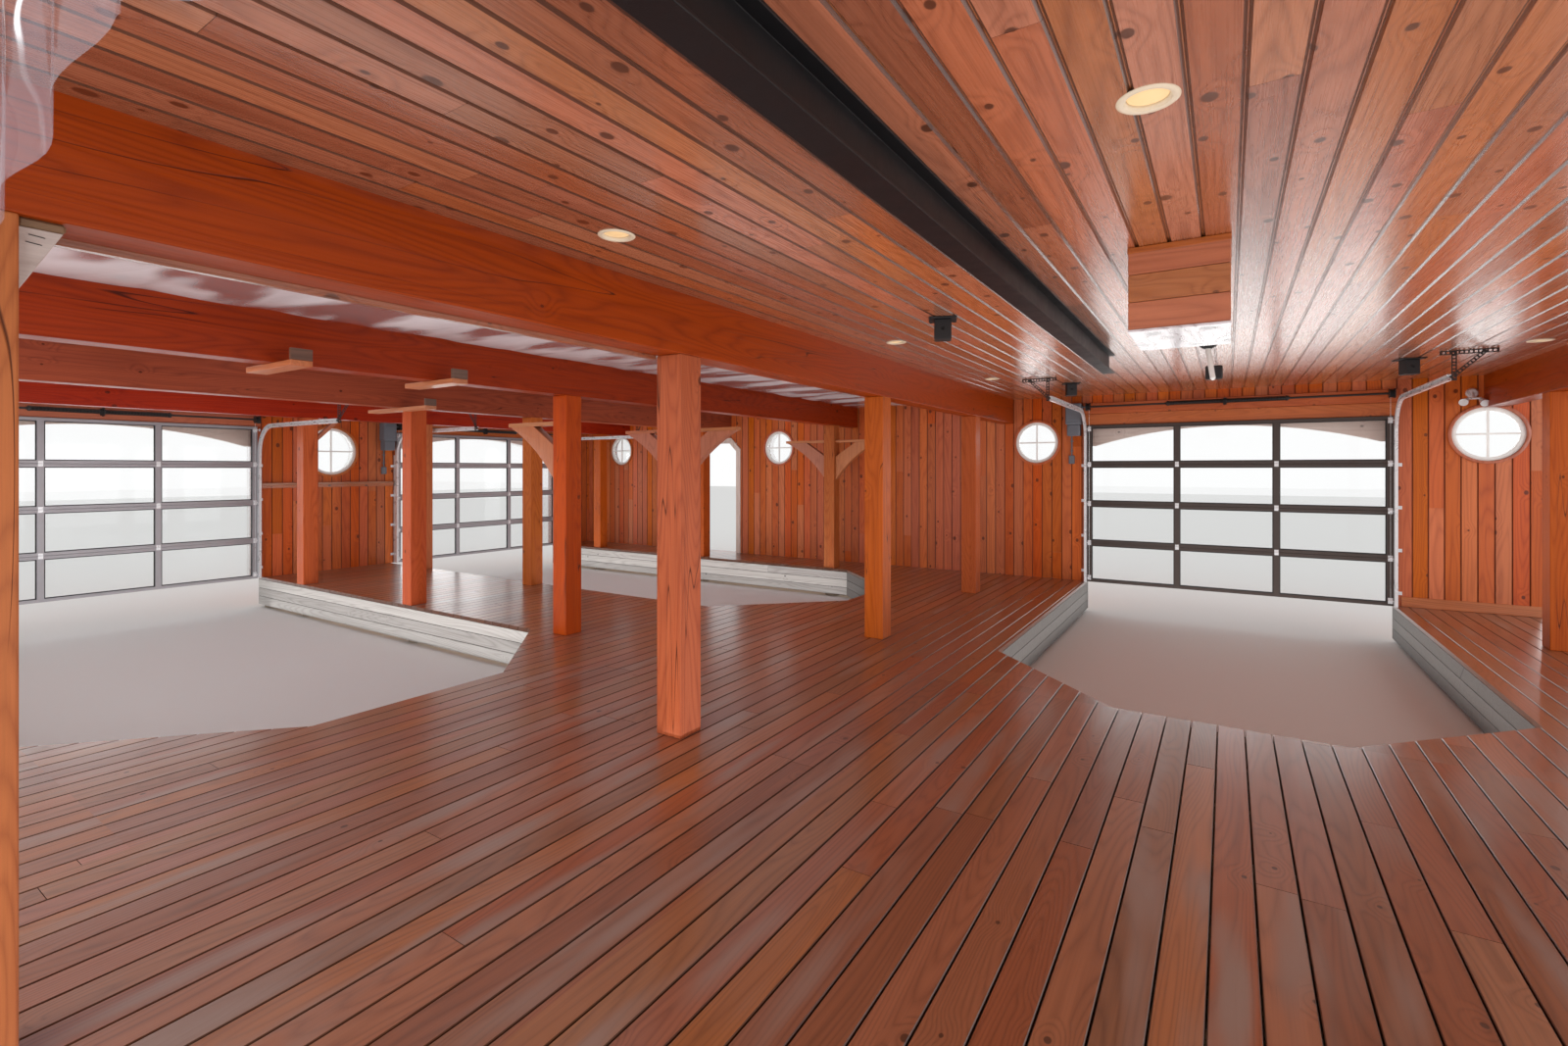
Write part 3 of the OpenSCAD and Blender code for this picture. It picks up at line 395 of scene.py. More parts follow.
# Silver sheet over the slips: a bright, wrinkled, half-mirror skin
def film(name):
    material, g, shader = new_material(name)
    place = object_place(g)
    folds = g.noise(g.vec("MULTIPLY", place, (2.2, 5.0, 1.0)), detail=3.0, distortion=0.6)
    fine = g.noise(g.vec("MULTIPLY", place, (14.0, 40.0, 1.0)), detail=2.0)
    stain = g.noise(place, scale=1.1, detail=3.0)
    bright = g.noise(g.vec("MULTIPLY", place, (0.9, 2.4, 1.0)), detail=2.0)
    stained = g.mix(g.ramp(stain, 0.35, 0.7), opaque((0.96, 0.96, 1.0)), opaque((0.86, 0.87, 0.92)))
    g.put_all(shader, {
        "Base Color": stained,
        "Roughness": g.add(0.05, g.mul(fine, 0.10)), "Metallic": g.ramp(bright, 0.44, 0.60, 0.12, 0.85)})
    relief(g, shader, g.add(folds, g.mul(fine, 0.05)), 0.012, 0.35)
    return material


MATERIALS = {
    "beam": timber(
        "beam_fir", "Y", (0.29, 0.036, 0.005), (0.15, 0.013, 0.002), tone=0.10, rings=34.0, knots=0.12,
        knot_size=0.018, rough=0.42, coat=0.08, coat_rough=0.2, cracks=1.0, shine=0.15),
    "post": timber(
        "post_fir", "Z", (0.41, 0.090, 0.021), (0.23, 0.036, 0.007), tone=0.12, rings=34.0, knots=0.10,
        knot_size=0.017, cracks=0.8, shine=0.2),
    "arm": timber("arm_fir", "X", (0.46, 0.16, 0.07), (0.26, 0.07, 0.024), tone=0.12, knots=0.1, coat=0.3),
    "brace": timber(
        "brace_fir", "Z", (0.44, 0.155, 0.075), (0.26, 0.072, 0.028), tone=0.10, knots=0.1, rough=0.48,
        coat=0.2),
    "stop": timber(
        "stop_board", "Y", (0.13, 0.070, 0.045), (0.065, 0.032, 0.020), tone=0.1, knots=0.1, rough=0.5),
    "pale": timber(
        "pale_board", "Y", (0.50, 0.42, 0.38), (0.32, 0.24, 0.20), tone=0.1, knots=0.15, rough=0.6),
    "olive": timber(
        "olive_board", "Y", (0.20, 0.11, 0.050), (0.10, 0.050, 0.022), tone=0.1, knots=0.1, rough=0.5),
    "deck": timber(
        "deck_board", "Y", (0.290, 0.100, 0.042), (0.130, 0.040, 0.016), tone=0.24, hue=0.015, rings=36.0,
        figure=0.45, knots=0.14, rough=0.34, coat=0.7, coat_rough=0.20, fade=(0.26, 0.165, 0.130),
        fade_share=0.10),
    "wall": timber(
        "wall_board", "Z", (0.50, 0.108, 0.024), (0.28, 0.043, 0.009), tone=0.15, hue=0.010, rings=24.0,
        figure=0.45, knots=0.50, knot_size=0.020, rough=0.40, coat=0.15, coat_rough=0.25, shine=0.35),
    "header_x": timber(
        "header_board_x", "X", (0.46, 0.115, 0.034), (0.26, 0.046, 0.011), tone=0.12, rough=0.42, coat=0.3),
    "header_y": timber(
        "header_board_y", "Y", (0.46, 0.115, 0.034), (0.26, 0.046, 0.011), tone=0.12, rough=0.42, coat=0.3),
    "ceiling": timber(
        "ceiling_board", "Y", (0.36, 0.122, 0.056), (0.135, 0.035, 0.013), tone=0.30, hue=0.014, rings=26.0,
        figure=0.4, knots=0.85, knot_size=0.018, rough=0.28, coat=1.0, coat_rough=0.21, bumps=0.4,
        coat_ior=1.9),
    "skirt": timber(
        "skirt_board", "X", (0.40, 0.38, 0.36), (0.19, 0.17, 0.155), tone=0.2, hue=0.01, figure=0.4,
        knots=0.15, rough=0.75, bumps=0.9),
    "framing": timber(
        "sawn_framing", "Y", (0.50, 0.36, 0.22), (0.34, 0.22, 0.12), tone=0.15, knots=0.2, rough=0.7),
    "pile": timber(
        "pile_timber", "Z", (0.32, 0.26, 0.20), (0.15, 0.11, 0.08), tone=0.2, knots=0.1, rough=0.8,
        bumps=1.0, cracks=1.0),
    "casing": timber(
        "casing_board", "Z", (0.68, 0.56, 0.50), (0.46, 0.33, 0.27), tone=0.06, knots=0.05, rough=0.42,
        coat=0.2),
    "ring": timber(
        "ring_board", "Z", (0.46, 0.120, 0.036), (0.26, 0.050, 0.012), tone=0.08, knots=0.1, rough=0.4,
        coat=0.3),
    "chest": timber(
        "chest_board", "X", (0.40, 0.120, 0.040), (0.22, 0.052, 0.015), tone=0.12, knots=0.25, rough=0.33,
        coat=0.5),
    "plate": timber(
        "plywood_plate", "Y", (0.62, 0.58, 0.60), (0.36, 0.30, 0.31), tone=0.05, rings=12.0, figure=0.9,
        knots=0.8, knot_size=0.03, rough=0.25, coat=0.8, coat_rough=0.12),
    # Arch boards: a pale tone of their own, raised further as painted light for the daylight that falls on
    # the arched heads outside the door glass
    "arch": timber(
        "arch_board", "X", (0.82, 0.70, 0.63), (0.62, 0.48, 0.41), tone=0.06, knots=0.05, rough=0.6),
    "fascia": timber(
        "fascia_board", "X", (0.40, 0.125, 0.045), (0.23, 0.058, 0.018), tone=0.08, knots=0.2, rough=0.5,
        coat=0.2),
    "shingle": timber(
        "shingle", "Y", (0.34, 0.29, 0.24), (0.17, 0.14, 0.115), tone=0.35, rings=50.0, figure=0.3,
        knots=0.0, rough=0.85, bumps=0.8),
    "bronze": metal("bronze_paint", (0.055, 0.042, 0.037), 0.40, metallic=0.2, coat=0.15),
    "silver": metal("milled_metal", (0.36, 0.35, 0.37), 0.38, metallic=0.6),
    "track": metal("zinc_track", (0.80, 0.81, 0.83), 0.30, metallic=0.55, mottle=0.2),
    "dark": metal("dark_steel", (0.040, 0.038, 0.038), 0.42, metallic=0.5),
    "rail": metal("black_rail_paint", (0.006, 0.006, 0.007), 0.5, mottle=0.5, scratches=0.6),
    "white": metal("white_paint", (0.80, 0.79, 0.76), 0.42, mottle=0.08, coat=0.3),
    "cream": metal("cream_paint", (0.66, 0.56, 0.42), 0.35, mottle=0.06, coat=0.3),
    "plastic": metal("grey_plastic", (0.12, 0.13, 0.15), 0.45, mottle=0.1, coat=0.1),
    "gasket": metal("black_rubber", (0.020, 0.020, 0.021), 0.6, mottle=0.2, scratches=0.1),
    "glass": clear_glass("window_glass", (0.95, 0.98, 0.98)),
    "sheet": clear_film("clear_sheet"),
    "lamp": glowing("lamp_lens", (0.62, 0.43, 0.22), 0.62),
    "film": film("silver_sheet"),
}


def link(obj):
    SCENE.collection.objects.link(obj)
    return obj


def plain_mesh(obj):
    """What an object's modifiers make, as a plain mesh. The object goes."""
    graph = bpy.context.evaluated_depsgraph_get()
    made = bpy.data.meshes.new_from_object(
        obj.evaluated_get(graph), preserve_all_data_layers=True, depsgraph=graph)
    made.name = obj.name
    bpy.data.objects.remove(obj)
    return made


def grown(name, mesh, tree, sizes):
    """The plain mesh that a Geometry Nodes tree makes from a mesh, its inputs set by their identifiers."""
    obj = link(bpy.data.objects.new(name, mesh))
    modifier = obj.modifiers.new(tree.name, "NODES")
    modifier.node_group = tree
    for item in tree.interface.items_tree:
        if item.item_type == "SOCKET" and item.in_out == "INPUT" and item.name in sizes:
            modifier[item.identifier] = sizes[item.name]
    return plain_mesh(obj)


def merged(node):
    """A copy of a CAD node's mesh, its triangles joined and each flat face made whole."""
    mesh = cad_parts[node].data.copy()
    mesh.materials.clear()
    bm = bmesh.new()
    bm.from_mesh(mesh)
    bmesh.ops.remove_doubles(bm, verts=bm.verts, dist=MERGE)
    bmesh.ops.dissolve_limit(bm, angle_limit=math.radians(0.4), verts=bm.verts, edges=bm.edges)
    bm.to_mesh(mesh)
    bm.free()
    return mesh


def mark_pieces(mesh, seed):
    """Gives every loose part of a mesh its own random number, for the timber's tone and grain."""
    links = [[] for _ in mesh.vertices]
    for edge in mesh.edges:
        a, b = edge.vertices
        links[a].append(b)
        links[b].append(a)
    values = [None] * len(mesh.vertices)
    luck = random.Random(seed)
    for start in range(len(values)):
        if values[start] is not None:
            continue
        value = luck.random()
        values[start] = value
        front = [start]
        while front:
            for near in links[front.pop()]:
                if values[near] is None:
                    values[near] = value
                    front.append(near)
    layer = mesh.attributes.get("piece") or mesh.attributes.new("piece", "FLOAT", "POINT")
    layer.data.foreach_set("value", values)


def part_boxes(node):
    """Lowest and highest corner of each loose part of a CAD node."""
    mesh = merged(node)
    mark_pieces(mesh, 1)
    groups = {}
    for vertex, mark in zip(mesh.vertices, mesh.attributes["piece"].data):
        groups.setdefault(mark.value, []).append(vertex.co.copy())
    return [(Vector(min(c[i] for c in g) for i in range(3)), Vector(max(c[i] for c in g) for i in range(3)))
            for g in groups.values()]


def add_piece(name, mesh, material, replaces=(), smooth=None):
    """Adds a finished mesh to the scene as a piece that rides on the building."""
    obj = link(bpy.data.objects.new(name, mesh))
    if material is not None:
        mesh.materials.clear()
        mesh.materials.append(MATERIALS[material])
    if smooth is not None:
        mesh.shade_smooth()
        mesh.set_sharp_from_angle(angle=math.radians(smooth))
    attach(obj, "root")
    if replaces:
        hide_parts(*replaces)
    return obj


def eased(node, material, ease, smooth=None, seed=1):
    """A CAD node's own shape with its edges eased, in place of the node."""
    name = node + "_dressed"
    obj = link(bpy.data.objects.new(name, merged(node)))
    bevel = obj.modifiers.new("ease", "BEVEL")
    bevel.width = ease
    bevel.segments = 2
    bevel.limit_method = "ANGLE"
    bevel.angle_limit = math.radians(35.0)
    mesh = plain_mesh(obj)
    mark_pieces(mesh, seed)
    add_piece(name, mesh, material, (node,), smooth)


# Geometry Nodes trees

def new_tree(name, **inputs):
    """A tree with named inputs, listed by their kind, and its ends."""
    tree = bpy.data.node_groups.new(name, "GeometryNodeTree")
    tree.interface.new_socket("Geometry", in_out="INPUT", socket_type="NodeSocketGeometry")
    for kind, labels in inputs.items():
        for label in labels.split(", "):
            tree.interface.new_socket(label, in_out="INPUT", socket_type="NodeSocket" + kind)
    tree.interface.new_socket("Geometry", in_out="OUTPUT", socket_type="NodeSocketGeometry")
    graph = Graph(tree)
    return tree, graph, graph.node("NodeGroupInput").outputs, graph.node("NodeGroupOutput").inputs[0]


def finish_tree(g, geometry, material, result):
    g.put(result, g.out("GeometryNodeSetMaterial", {0: g.realized(geometry), "Material": material}))


def turn_of_points(g):
    """Each point's "turn" as a rotation."""
    turn = g.out("GeometryNodeInputNamedAttribute", {"Name": "turn"}, data_type="FLOAT_VECTOR")
    return g.out("FunctionNodeEulerToRotation", {0: turn})


def board_field_tree():
    """Rows of boards cut to the outline of the geometry that comes in.
    The boards lie along Y, side by side along X, with staggered ends and eased edges."""
    tree, g, given, result = new_tree(
        "board_field", Int="Rows, Lengths, Seed", Material="Material",
        Float="Pitch, Gap, Ease, Thickness, Foot, Slot, Board length, End gap, Start X, Start Y")
    pitch, length, thickness = given["Pitch"], given["Board length"], given["Thickness"]
    start_x, start_y, slot, seed = given["Start X"], given["Start Y"], given["Slot"], given["Seed"]
    level = g.add(given["Foot"], g.mul(thickness, 0.5))
    rows = g.line_of_points(given["Rows"], g.join(pitch, 0.0, 0.0),
                            g.join(g.add(start_x, g.mul(pitch, 0.5)), start_y, level))
    stagger = g.random(0.0, length, g.out("GeometryNodeInputIndex"), seed)
    staggered = g.moved(rows, offset=g.join(0.0, g.mul(stagger, -1.0), 0.0))
    ends = g.line_of_points(given["Lengths"], g.join(0.0, length, 0.0))
    outline = g.out("GeometryNodeCurvePrimitiveQuadrilateral", {
        "Width": g.sub(pitch, given["Gap"]), "Height": thickness})
    rounded = g.out("GeometryNodeFilletCurve", {0: outline, "Count": 1, "Radius": given["Ease"],
                                                "Limit Radius": True}, mode="POLY")
    half = g.mul(g.sub(length, given["End gap"]), 0.5)
    spine = g.out("GeometryNodeCurvePrimitiveLine", {
        "Start": g.join(0.0, 0.0, g.mul(half, -1.0)), "End": g.join(0.0, 0.0, half)})
    bar = g.out("GeometryNodeCurveToMesh", {0: spine, 1: rounded, "Fill Caps": True})
    board = g.out("GeometryNodeTransform", {0: bar, "Rotation": Euler((math.radians(90.0), 0.0, 0.0))})
    boards = g.realized(g.copies(g.realized(g.copies(staggered, ends)), board))
    # Where the joints have a bottom, a slab behind the faces closes them
    reach = g.mul(g.add(given["Lengths"], 1.0), length)
    slab_t = g.calc("MAXIMUM", g.sub(thickness, g.mul(slot, 2.0)), 0.001)
    slab = g.out("GeometryNodeMeshCube", {
        "Size": g.join(g.mul(g.add(given["Rows"], 1.0), pitch), reach, slab_t)})
    slab_place = g.join(g.add(start_x, g.mul(g.mul(given["Rows"], pitch), 0.5)),
                        g.add(start_y, g.mul(reach, 0.5)), level)
    slab_moved = g.out("GeometryNodeTransform", {
        0: slab, "Translation": g.vec("SUBTRACT", slab_place, g.join(0.0, length, 0.0))})
    backed = g.boolean("UNION", boards, slab_moved)
    solid = g.out("GeometryNodeSwitch", {0: g.greater(slot, 0.0001), 1: boards, 2: backed},
                  input_type="GEOMETRY")
    cut = g.boolean("INTERSECT", solid, given["Geometry"])
    # The board that a face belongs to, and whether it lies in a joint, where the timber paints shade
    x, y, _ = g.split(g.out("GeometryNodeInputPosition"))
    row = g.calc("FLOOR", g.div(g.sub(x, start_x), pitch))
    row_stagger = g.random(0.0, length, row, seed)
    along = g.calc("FLOOR", g.div(g.add(g.sub(y, start_y), g.add(row_stagger, g.mul(length, 0.5))), length))
    piece = g.random(0.0, 1.0, g.add(g.mul(row, 37.0), along), g.add(seed, 1.0))
    _, _, facing = g.split(g.node("GeometryNodeInputNormal").outputs["True Normal"])
    groove = g.calc("LESS_THAN", g.calc("ABSOLUTE", facing), 0.9)
    marked = g.stored(g.stored(cut, "piece", piece, "FACE"), "groove", groove, "FACE")
    finish_tree(g, marked, given["Material"], result)
    return tree


def parts_on_places_tree():
    """A copy of one part at every point that comes in, turned by the point's "turn"."""
    tree, g, given, result = new_tree("parts_on_places", Object="Part", Material="Material")
    part = g.node("GeometryNodeObjectInfo", {"Object": given["Part"]}).outputs["Geometry"]
    finish_tree(g, g.copies(given["Geometry"], part, Rotation=turn_of_points(g)), given["Material"], result)
    return tree


def coil_tree():
    """A coil of wire at every point that comes in, its axis turned from Z by the point's "turn"."""
    tree, g, given, result = new_tree("coil_spring", Float="Length, Radius, Wire, Turns",
                                      Material="Material")
    spiral = g.out("GeometryNodeCurveSpiral", {
        "Resolution": 14, "Rotations": given["Turns"], "Start Radius": given["Radius"],
        "End Radius": given["Radius"], "Height": given["Length"]})
    wire = g.out("GeometryNodeCurvePrimitiveCircle", {"Resolution": 5, "Radius": g.mul(given["Wire"], 0.5)})
    coil = g.out("GeometryNodeCurveToMesh", {0: spiral, 1: wire, "Fill Caps": True})
    finish_tree(g, g.copies(given["Geometry"], coil, Rotation=turn_of_points(g)), given["Material"], result)
    return tree


def shingle_tree():
    """Courses of shingles on a slope, flat on the XY plane: eave on the X axis, trimmed along both hips."""
    tree, g, given, result = new_tree(
        "shingle_courses", Float="Eave, Reach, Hip, Exposure, Lap, Width, Gap, Butt, Tip", Int="Seed",
        Material="Material")
    eave, exposure, width, seed = given["Eave"], given["Exposure"], given["Width"], given["Seed"]
    length = g.add(exposure, given["Lap"])
    index = g.out("GeometryNodeInputIndex")
    x, y, z = g.split(g.out("GeometryNodeInputPosition"))
    room = g.sub(g.mul(eave, 0.5), g.mul(y, given["Hip"]))
    column = g.line_of_points(g.calc("CEIL", g.div(given["Reach"], exposure)), g.join(0.0, exposure, 0.0))
    stagger = g.mul(g.random(-0.5, 0.5, index, seed), width)
    staggered = g.moved(column, offset=g.join(stagger, 0.0, 0.0))
    row = g.line_of_points(g.calc("CEIL", g.add(g.div(eave, width), 1.0)), g.join(width, 0.0, 0.0),
                           g.join(g.mul(g.add(eave, width), -0.5), 0.0, 0.0))
    grid = g.realized(g.copies(staggered, row))
    outside = g.greater(g.sub(g.calc("ABSOLUTE", x), g.mul(width, 0.5)), g.sub(room, 0.012))
    points = g.out("GeometryNodeDeleteGeometry", {0: grid, 1: outside}, domain="POINT", mode="ALL")
    # One shingle: a wedge, thick at its butt and thin at its tip
    slab = g.out("GeometryNodeMeshCube", {"Size": g.join(g.sub(width, given["Gap"]), length, 1.0)})
    at_tip, at_top = g.calc("GREATER_THAN", y, 0.0), g.calc("GREATER_THAN", z, 0.0)
    thick = g.add(given["Butt"], g.mul(at_tip, g.sub(given["Tip"], given["Butt"])))
    wedge = g.moved(slab, position=g.join(x, g.add(y, g.mul(length, 0.5)), g.mul(at_top, thick)))
    uneven = g.random(0.82, 1.0, index, g.add(seed, 3.0))
    shingles = g.realized(g.copies(points, wedge, Scale=g.join(uneven, 1.0, 1.0)))
    piece = g.random(0.0, 1.0, g.out("GeometryNodeInputMeshIsland"), g.add(seed, 5.0))
    marked = g.stored(shingles, "piece", piece, "POINT")
    limit = g.calc("MAXIMUM", room, 0.0)
    trimmed_x = g.calc("MAXIMUM", g.calc("MINIMUM", x, limit), g.mul(limit, -1.0))
    trimmed = g.moved(marked, position=g.join(trimmed_x, g.calc("MINIMUM", y, given["Reach"]), z))
    clean = g.out("GeometryNodeMergeByDistance", {0: trimmed, "Distance": 0.0002})
    finish_tree(g, clean, given["Material"], result)
    return tree


BOARD_FIELD = board_field_tree()
PARTS_ON_PLACES = parts_on_places_tree()
COIL = coil_tree()
SHINGLES = shingle_tree()

# Turns that bring a board field's own axes (across, along, thickness) onto the building's
ALONG_Y = Matrix.Identity(4)
UPRIGHT_ON_END = Matrix(((1, 0, 0, 0), (0, 0, -1, 0), (0, 1, 0, 0), (0, 0, 0, 1)))
UPRIGHT_ON_LEFT = Matrix(((0, 0, 1, 0), (1, 0, 0, 0), (0, 1, 0, 0), (0, 0, 0, 1)))
LEVEL_ON_END = Matrix(((0, 1, 0, 0), (0, 0, 1, 0), (1, 0, 0, 0), (0, 0, 0, 1)))


def boarded(node, turn, material, pitch, gap, ease, board_length, seed, start, joint=0.0,
            whole=False):
    """The boards of one CAD node: a field of boards as thick as the node, cut to its outline and openings.
    start is where the field's first board lies, along the field's own X. joint is the depth of the open
    joints, 0 for open through. whole cuts the boards' faces to the node's own, where these aren't level."""
    name = node + "_boards"
    mesh = merged(node)
    mesh.transform(turn.inverted())
    lows, highs = ([end(v.co[i] for v in mesh.vertices) for i in range(3)] for end in (min, max))
    spare = 0.05
    foot, thickness = lows[2], highs[2] - lows[2]
    if whole:
        foot, thickness = foot - spare, thickness + 2 * spare
    else:
        middle = (lows[2] + highs[2]) / 2
        for vertex in mesh.vertices:
            vertex.co.z += math.copysign(spare, vertex.co.z - middle)
    first_x = start + math.floor((lows[0] - start) / pitch) * pitch
    made = grown(name, mesh, BOARD_FIELD, {
        "Pitch": pitch, "Gap": gap, "Ease": ease, "Thickness": thickness, "Foot": foot, "Slot": joint,
        "Board length": board_length, "End gap": max(gap * 0.4, 0.0004),
        "Start X": first_x, "Start Y": lows[1],
        "Rows": math.ceil((highs[0] - first_x) / pitch) + 1,
        "Lengths": math.ceil((highs[1] - lows[1]) / board_length) + 3,
        "Seed": seed, "Material": MATERIALS[material]})
    made.transform(turn)
    made.shade_flat()
    add_piece(name, made, None, (node,))


def points_at(name, places):
    """A mesh of points from a list of (position, turn) places."""
    mesh = bpy.data.meshes.new(name)
    mesh.from_pydata([tuple(position) for position, _ in places], [], [])
    layer = mesh.attributes.new("turn", "FLOAT_VECTOR", "POINT")
    layer.data.foreach_set("vector", [c for _, turn in places for c in turn])
    return mesh


def place_on(name, fill, places, material, replaces=(), smooth=30):
    """One part, built by the function fill, at each of a list of (position, turn) places."""
    part = link(bpy.data.objects.new("part", mesh_from("part", fill)))
    made = grown(name, points_at(name, places), PARTS_ON_PLACES,
                 {"Part": part, "Material": MATERIALS[material]})
    bpy.data.objects.remove(part)
    mark_pieces(made, 7)
    add_piece(name, made, None, replaces, smooth)


# Small parts made in mesh code

def box_into(bm, lo, hi, ease=0.0):
    made = bmesh.ops.create_cube(bm, size=1.0)["verts"]
    size = Vector(hi) - Vector(lo)
    middle = (Vector(hi) + Vector(lo)) / 2
    bmesh.ops.scale(bm, vec=size, verts=made)
    bmesh.ops.translate(bm, vec=middle, verts=made)
    if ease:
        edges = list(dict.fromkeys(e for v in made for e in v.link_edges))
        bmesh.ops.bevel(bm, geom=edges, offset=ease, segments=1, affect="EDGES", profile=0.5)


def rod_into(bm, start, end, radius, sides=12, end_radius=None):
    start, end = Vector(start), Vector(end)
    axis = end - start
    turn = axis.to_track_quat("Z", "Y").to_matrix().to_4x4()
    place = Matrix.Translation((start + end) / 2) @ turn
    far = radius if end_radius is None else end_radius
    bmesh.ops.create_cone(bm, cap_ends=True, segments=sides, radius1=radius, radius2=far,
                          depth=axis.length, matrix=place)


def lathe_into(bm, profile, sides, matrix=None):
    """A closed turned form on the axis Z: profile is a list of (radius, height) from its foot up."""
    turns = [2 * math.pi * i / sides for i in range(sides)]
    rings = []
    for radius, height in profile:
        if radius < 1e-6:
            rings.append([bm.verts.new((0.0, 0.0, height))])
            continue
        rings.append([bm.verts.new((radius * math.cos(t), radius * math.sin(t), height)) for t in turns])
    for below, above in zip(rings, rings[1:]):
        for i in range(sides):
            j = (i + 1) % sides
            corners = [ring[k % len(ring)] for ring, k in ((below, i), (below, j), (above, j), (above, i))]
            unique = list(dict.fromkeys(corners))
            if len(unique) > 2:
                bm.faces.new(unique)
    if matrix is not None:
        bmesh.ops.transform(bm, matrix=matrix, verts=[v for ring in rings for v in ring])


def moved_into(bm, matrix, fill):
    """Adds what the function fill builds, moved and turned by a matrix."""
    part = bmesh.new()
    fill(part)
    bmesh.ops.transform(part, matrix=matrix, verts=part.verts)
    mesh = bpy.data.meshes.new("moved")
    part.to_mesh(mesh)
    part.free()
    bm.from_mesh(mesh)
    bpy.data.meshes.remove(mesh)


def mesh_from(name, fill):
    """A mesh that the function fill builds in a bmesh."""
    mesh = bpy.data.meshes.new(name)
    bm = bmesh.new()
    fill(bm)
    bmesh.ops.recalc_face_normals(bm, faces=bm.faces)
    bm.to_mesh(mesh)
    bm.free()
    return mesh


def simple_piece(name, fill, material, replaces=(), smooth=None, seed=None):
    """A piece that the function fill builds, its loose parts marked where a seed is given."""
    mesh = mesh_from(name, fill)
    if seed is not None:
        mark_pieces(mesh, seed)
    add_piece(name, mesh, material, replaces, smooth)


# Deck: boards along Y on one common grid, over the walks and round the slips
for node in ["front_walk", "slip_head_deck", "middle_walk", "back_walk", "lounge_deck", "end_slip_deck",
             "right_walk", "corner_decks"]:
    boarded(node, ALONG_Y, "deck", pitch=0.140, gap=0.006, ease=0.003, board_length=4.2,
            seed=11, start=-0.013)

# Walls: upright boards with grooves, closed behind their joints
for wall, lengths, turn, seed, start in [
        ("end_wall_", ["left", "middle", "right", "headers"], UPRIGHT_ON_END, 21, 0.021),
        ("left_wall_", ["front", "middle", "back", "headers"], UPRIGHT_ON_LEFT, 22, 0.033)]:
    for part in lengths:
        boarded(wall + part, turn, "wall", pitch=0.137, gap=0.004, ease=0.005,
                board_length=9.0, seed=seed, start=start, joint=0.012)

# Lounge ceiling: grooved boards along Y
boarded("lounge_ceiling", ALONG_Y, "ceiling", pitch=0.133, gap=0.003, ease=0.008,
        board_length=3.9, seed=31, start=0.045, joint=0.0088)

# Skirts: level boards under the edges of each slip
for number, node in enumerate(["first_slip_skirt", "second_slip_skirt", "end_slip_skirt"]):
    boarded(node, LEVEL_ON_END, "skirt", pitch=0.124, gap=0.006, ease=0.001,
            board_length=40.0, seed=41 + number, start=low(node).z - 0.001, whole=True)

# Timbers and steel with eased edges
for number, (node, material, slot, ease) in enumerate([
        ("lounge_beam", "beam", "stained_fir", 0.006), ("slip_beams", "beam", "stained_fir", 0.006),
        ("right_beam", "beam", "stained_fir", 0.006), ("lounge_posts", "post", "stained_fir", 0.006),
        ("slip_posts", "post", "stained_fir", 0.006), ("right_posts", "post", "stained_fir", 0.006),
        ("rack_arms", "arm", "stained_fir", 0.003), ("knee_brace", "brace", "stained_fir", 0.003),
        ("hoist_rail", "rail", "black_steel", 0.002),
        ("end_door", "bronze", "bronze_frame", 0.002), ("first_door", "silver", "silver_frame", 0.002),
        ("second_door", "silver", "silver_frame", 0.002)]):
    eased(node, material, ease, seed=60 + number)
for node, material, slot, ease in [
        ("curved_braces", "brace", "stained_fir", 0.004), ("window_rings", "ring", "cedar_trim", 0.003),
        ("window_frames", "white", "white_paint", 0.003), ("arched_heads", "arch", "brown_trim", 0.002),
        ("piles", "pile", "piles", 0.006)]:
    eased(node, material, ease, smooth=30, seed=90)


def sheet_over_slips():
    """The silver sheet between the beams: it sags a little between the joists and is full of soft folds."""
    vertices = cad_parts["slip_ceiling"].data.vertices
    columns = sorted({round(v.co.x, 4) for v in vertices})
    low_y, high_y = low("slip_ceiling").y, high("slip_ceiling").y
    z_top, z_low = high("slip_ceiling").z, low("slip_ceiling").z
    step, sag_pitch, clear, soft = 0.06, 0.61, 0.009, 0.007

    def height(x, y):
        sag = abs(math.sin(math.pi * (y - low_y) / sag_pitch))
        fold = noise.noise(Vector((x * 1.7, y * 4.2, 0.3)))
        return min(max(z_low + clear - soft * sag - soft * fold, z_low), z_top)

    def strip(bm, x0, x1):
        nx, ny = max(2, math.ceil((x1 - x0) / step)), math.ceil((high_y - low_y) / step)
        spots = [[(x0 + (x1 - x0) * i / nx, low_y + (high_y - low_y) * j / ny) for j in range(ny + 1)]
                 for i in range(nx + 1)]
        under = [[bm.verts.new((x, y, height(x, y))) for x, y in line] for line in spots]
        over = [[bm.verts.new((x, y, z_top)) for x, y in line] for line in spots]
        for i in range(nx):
            for j in range(ny):
                bm.faces.new((under[i][j], under[i][j + 1], under[i + 1][j + 1], under[i + 1][j]))
        rim = [(i, 0) for i in range(nx)] + [(nx, j) for j in range(ny)]
        rim += [(i, ny) for i in range(nx, 0, -1)] + [(0, j) for j in range(ny, 0, -1)]
        for (i, j), (k, m) in zip(rim, rim[1:] + rim[:1]):
            bm.faces.new((under[i][j], under[k][m], over[k][m], over[i][j]))
        bm.faces.new([over[i][j] for i, j in rim])
        for i in range(1, nx):
            for j in range(1, ny):
                bm.verts.remove(over[i][j])

    def fill(bm):
        for x0, x1 in zip(columns[0::2], columns[1::2]):
            strip(bm, x0, x1)

    simple_piece("slip_ceiling_sheet", fill, "film", ("slip_ceiling",), 60)


sheet_over_slips()

# Door gear

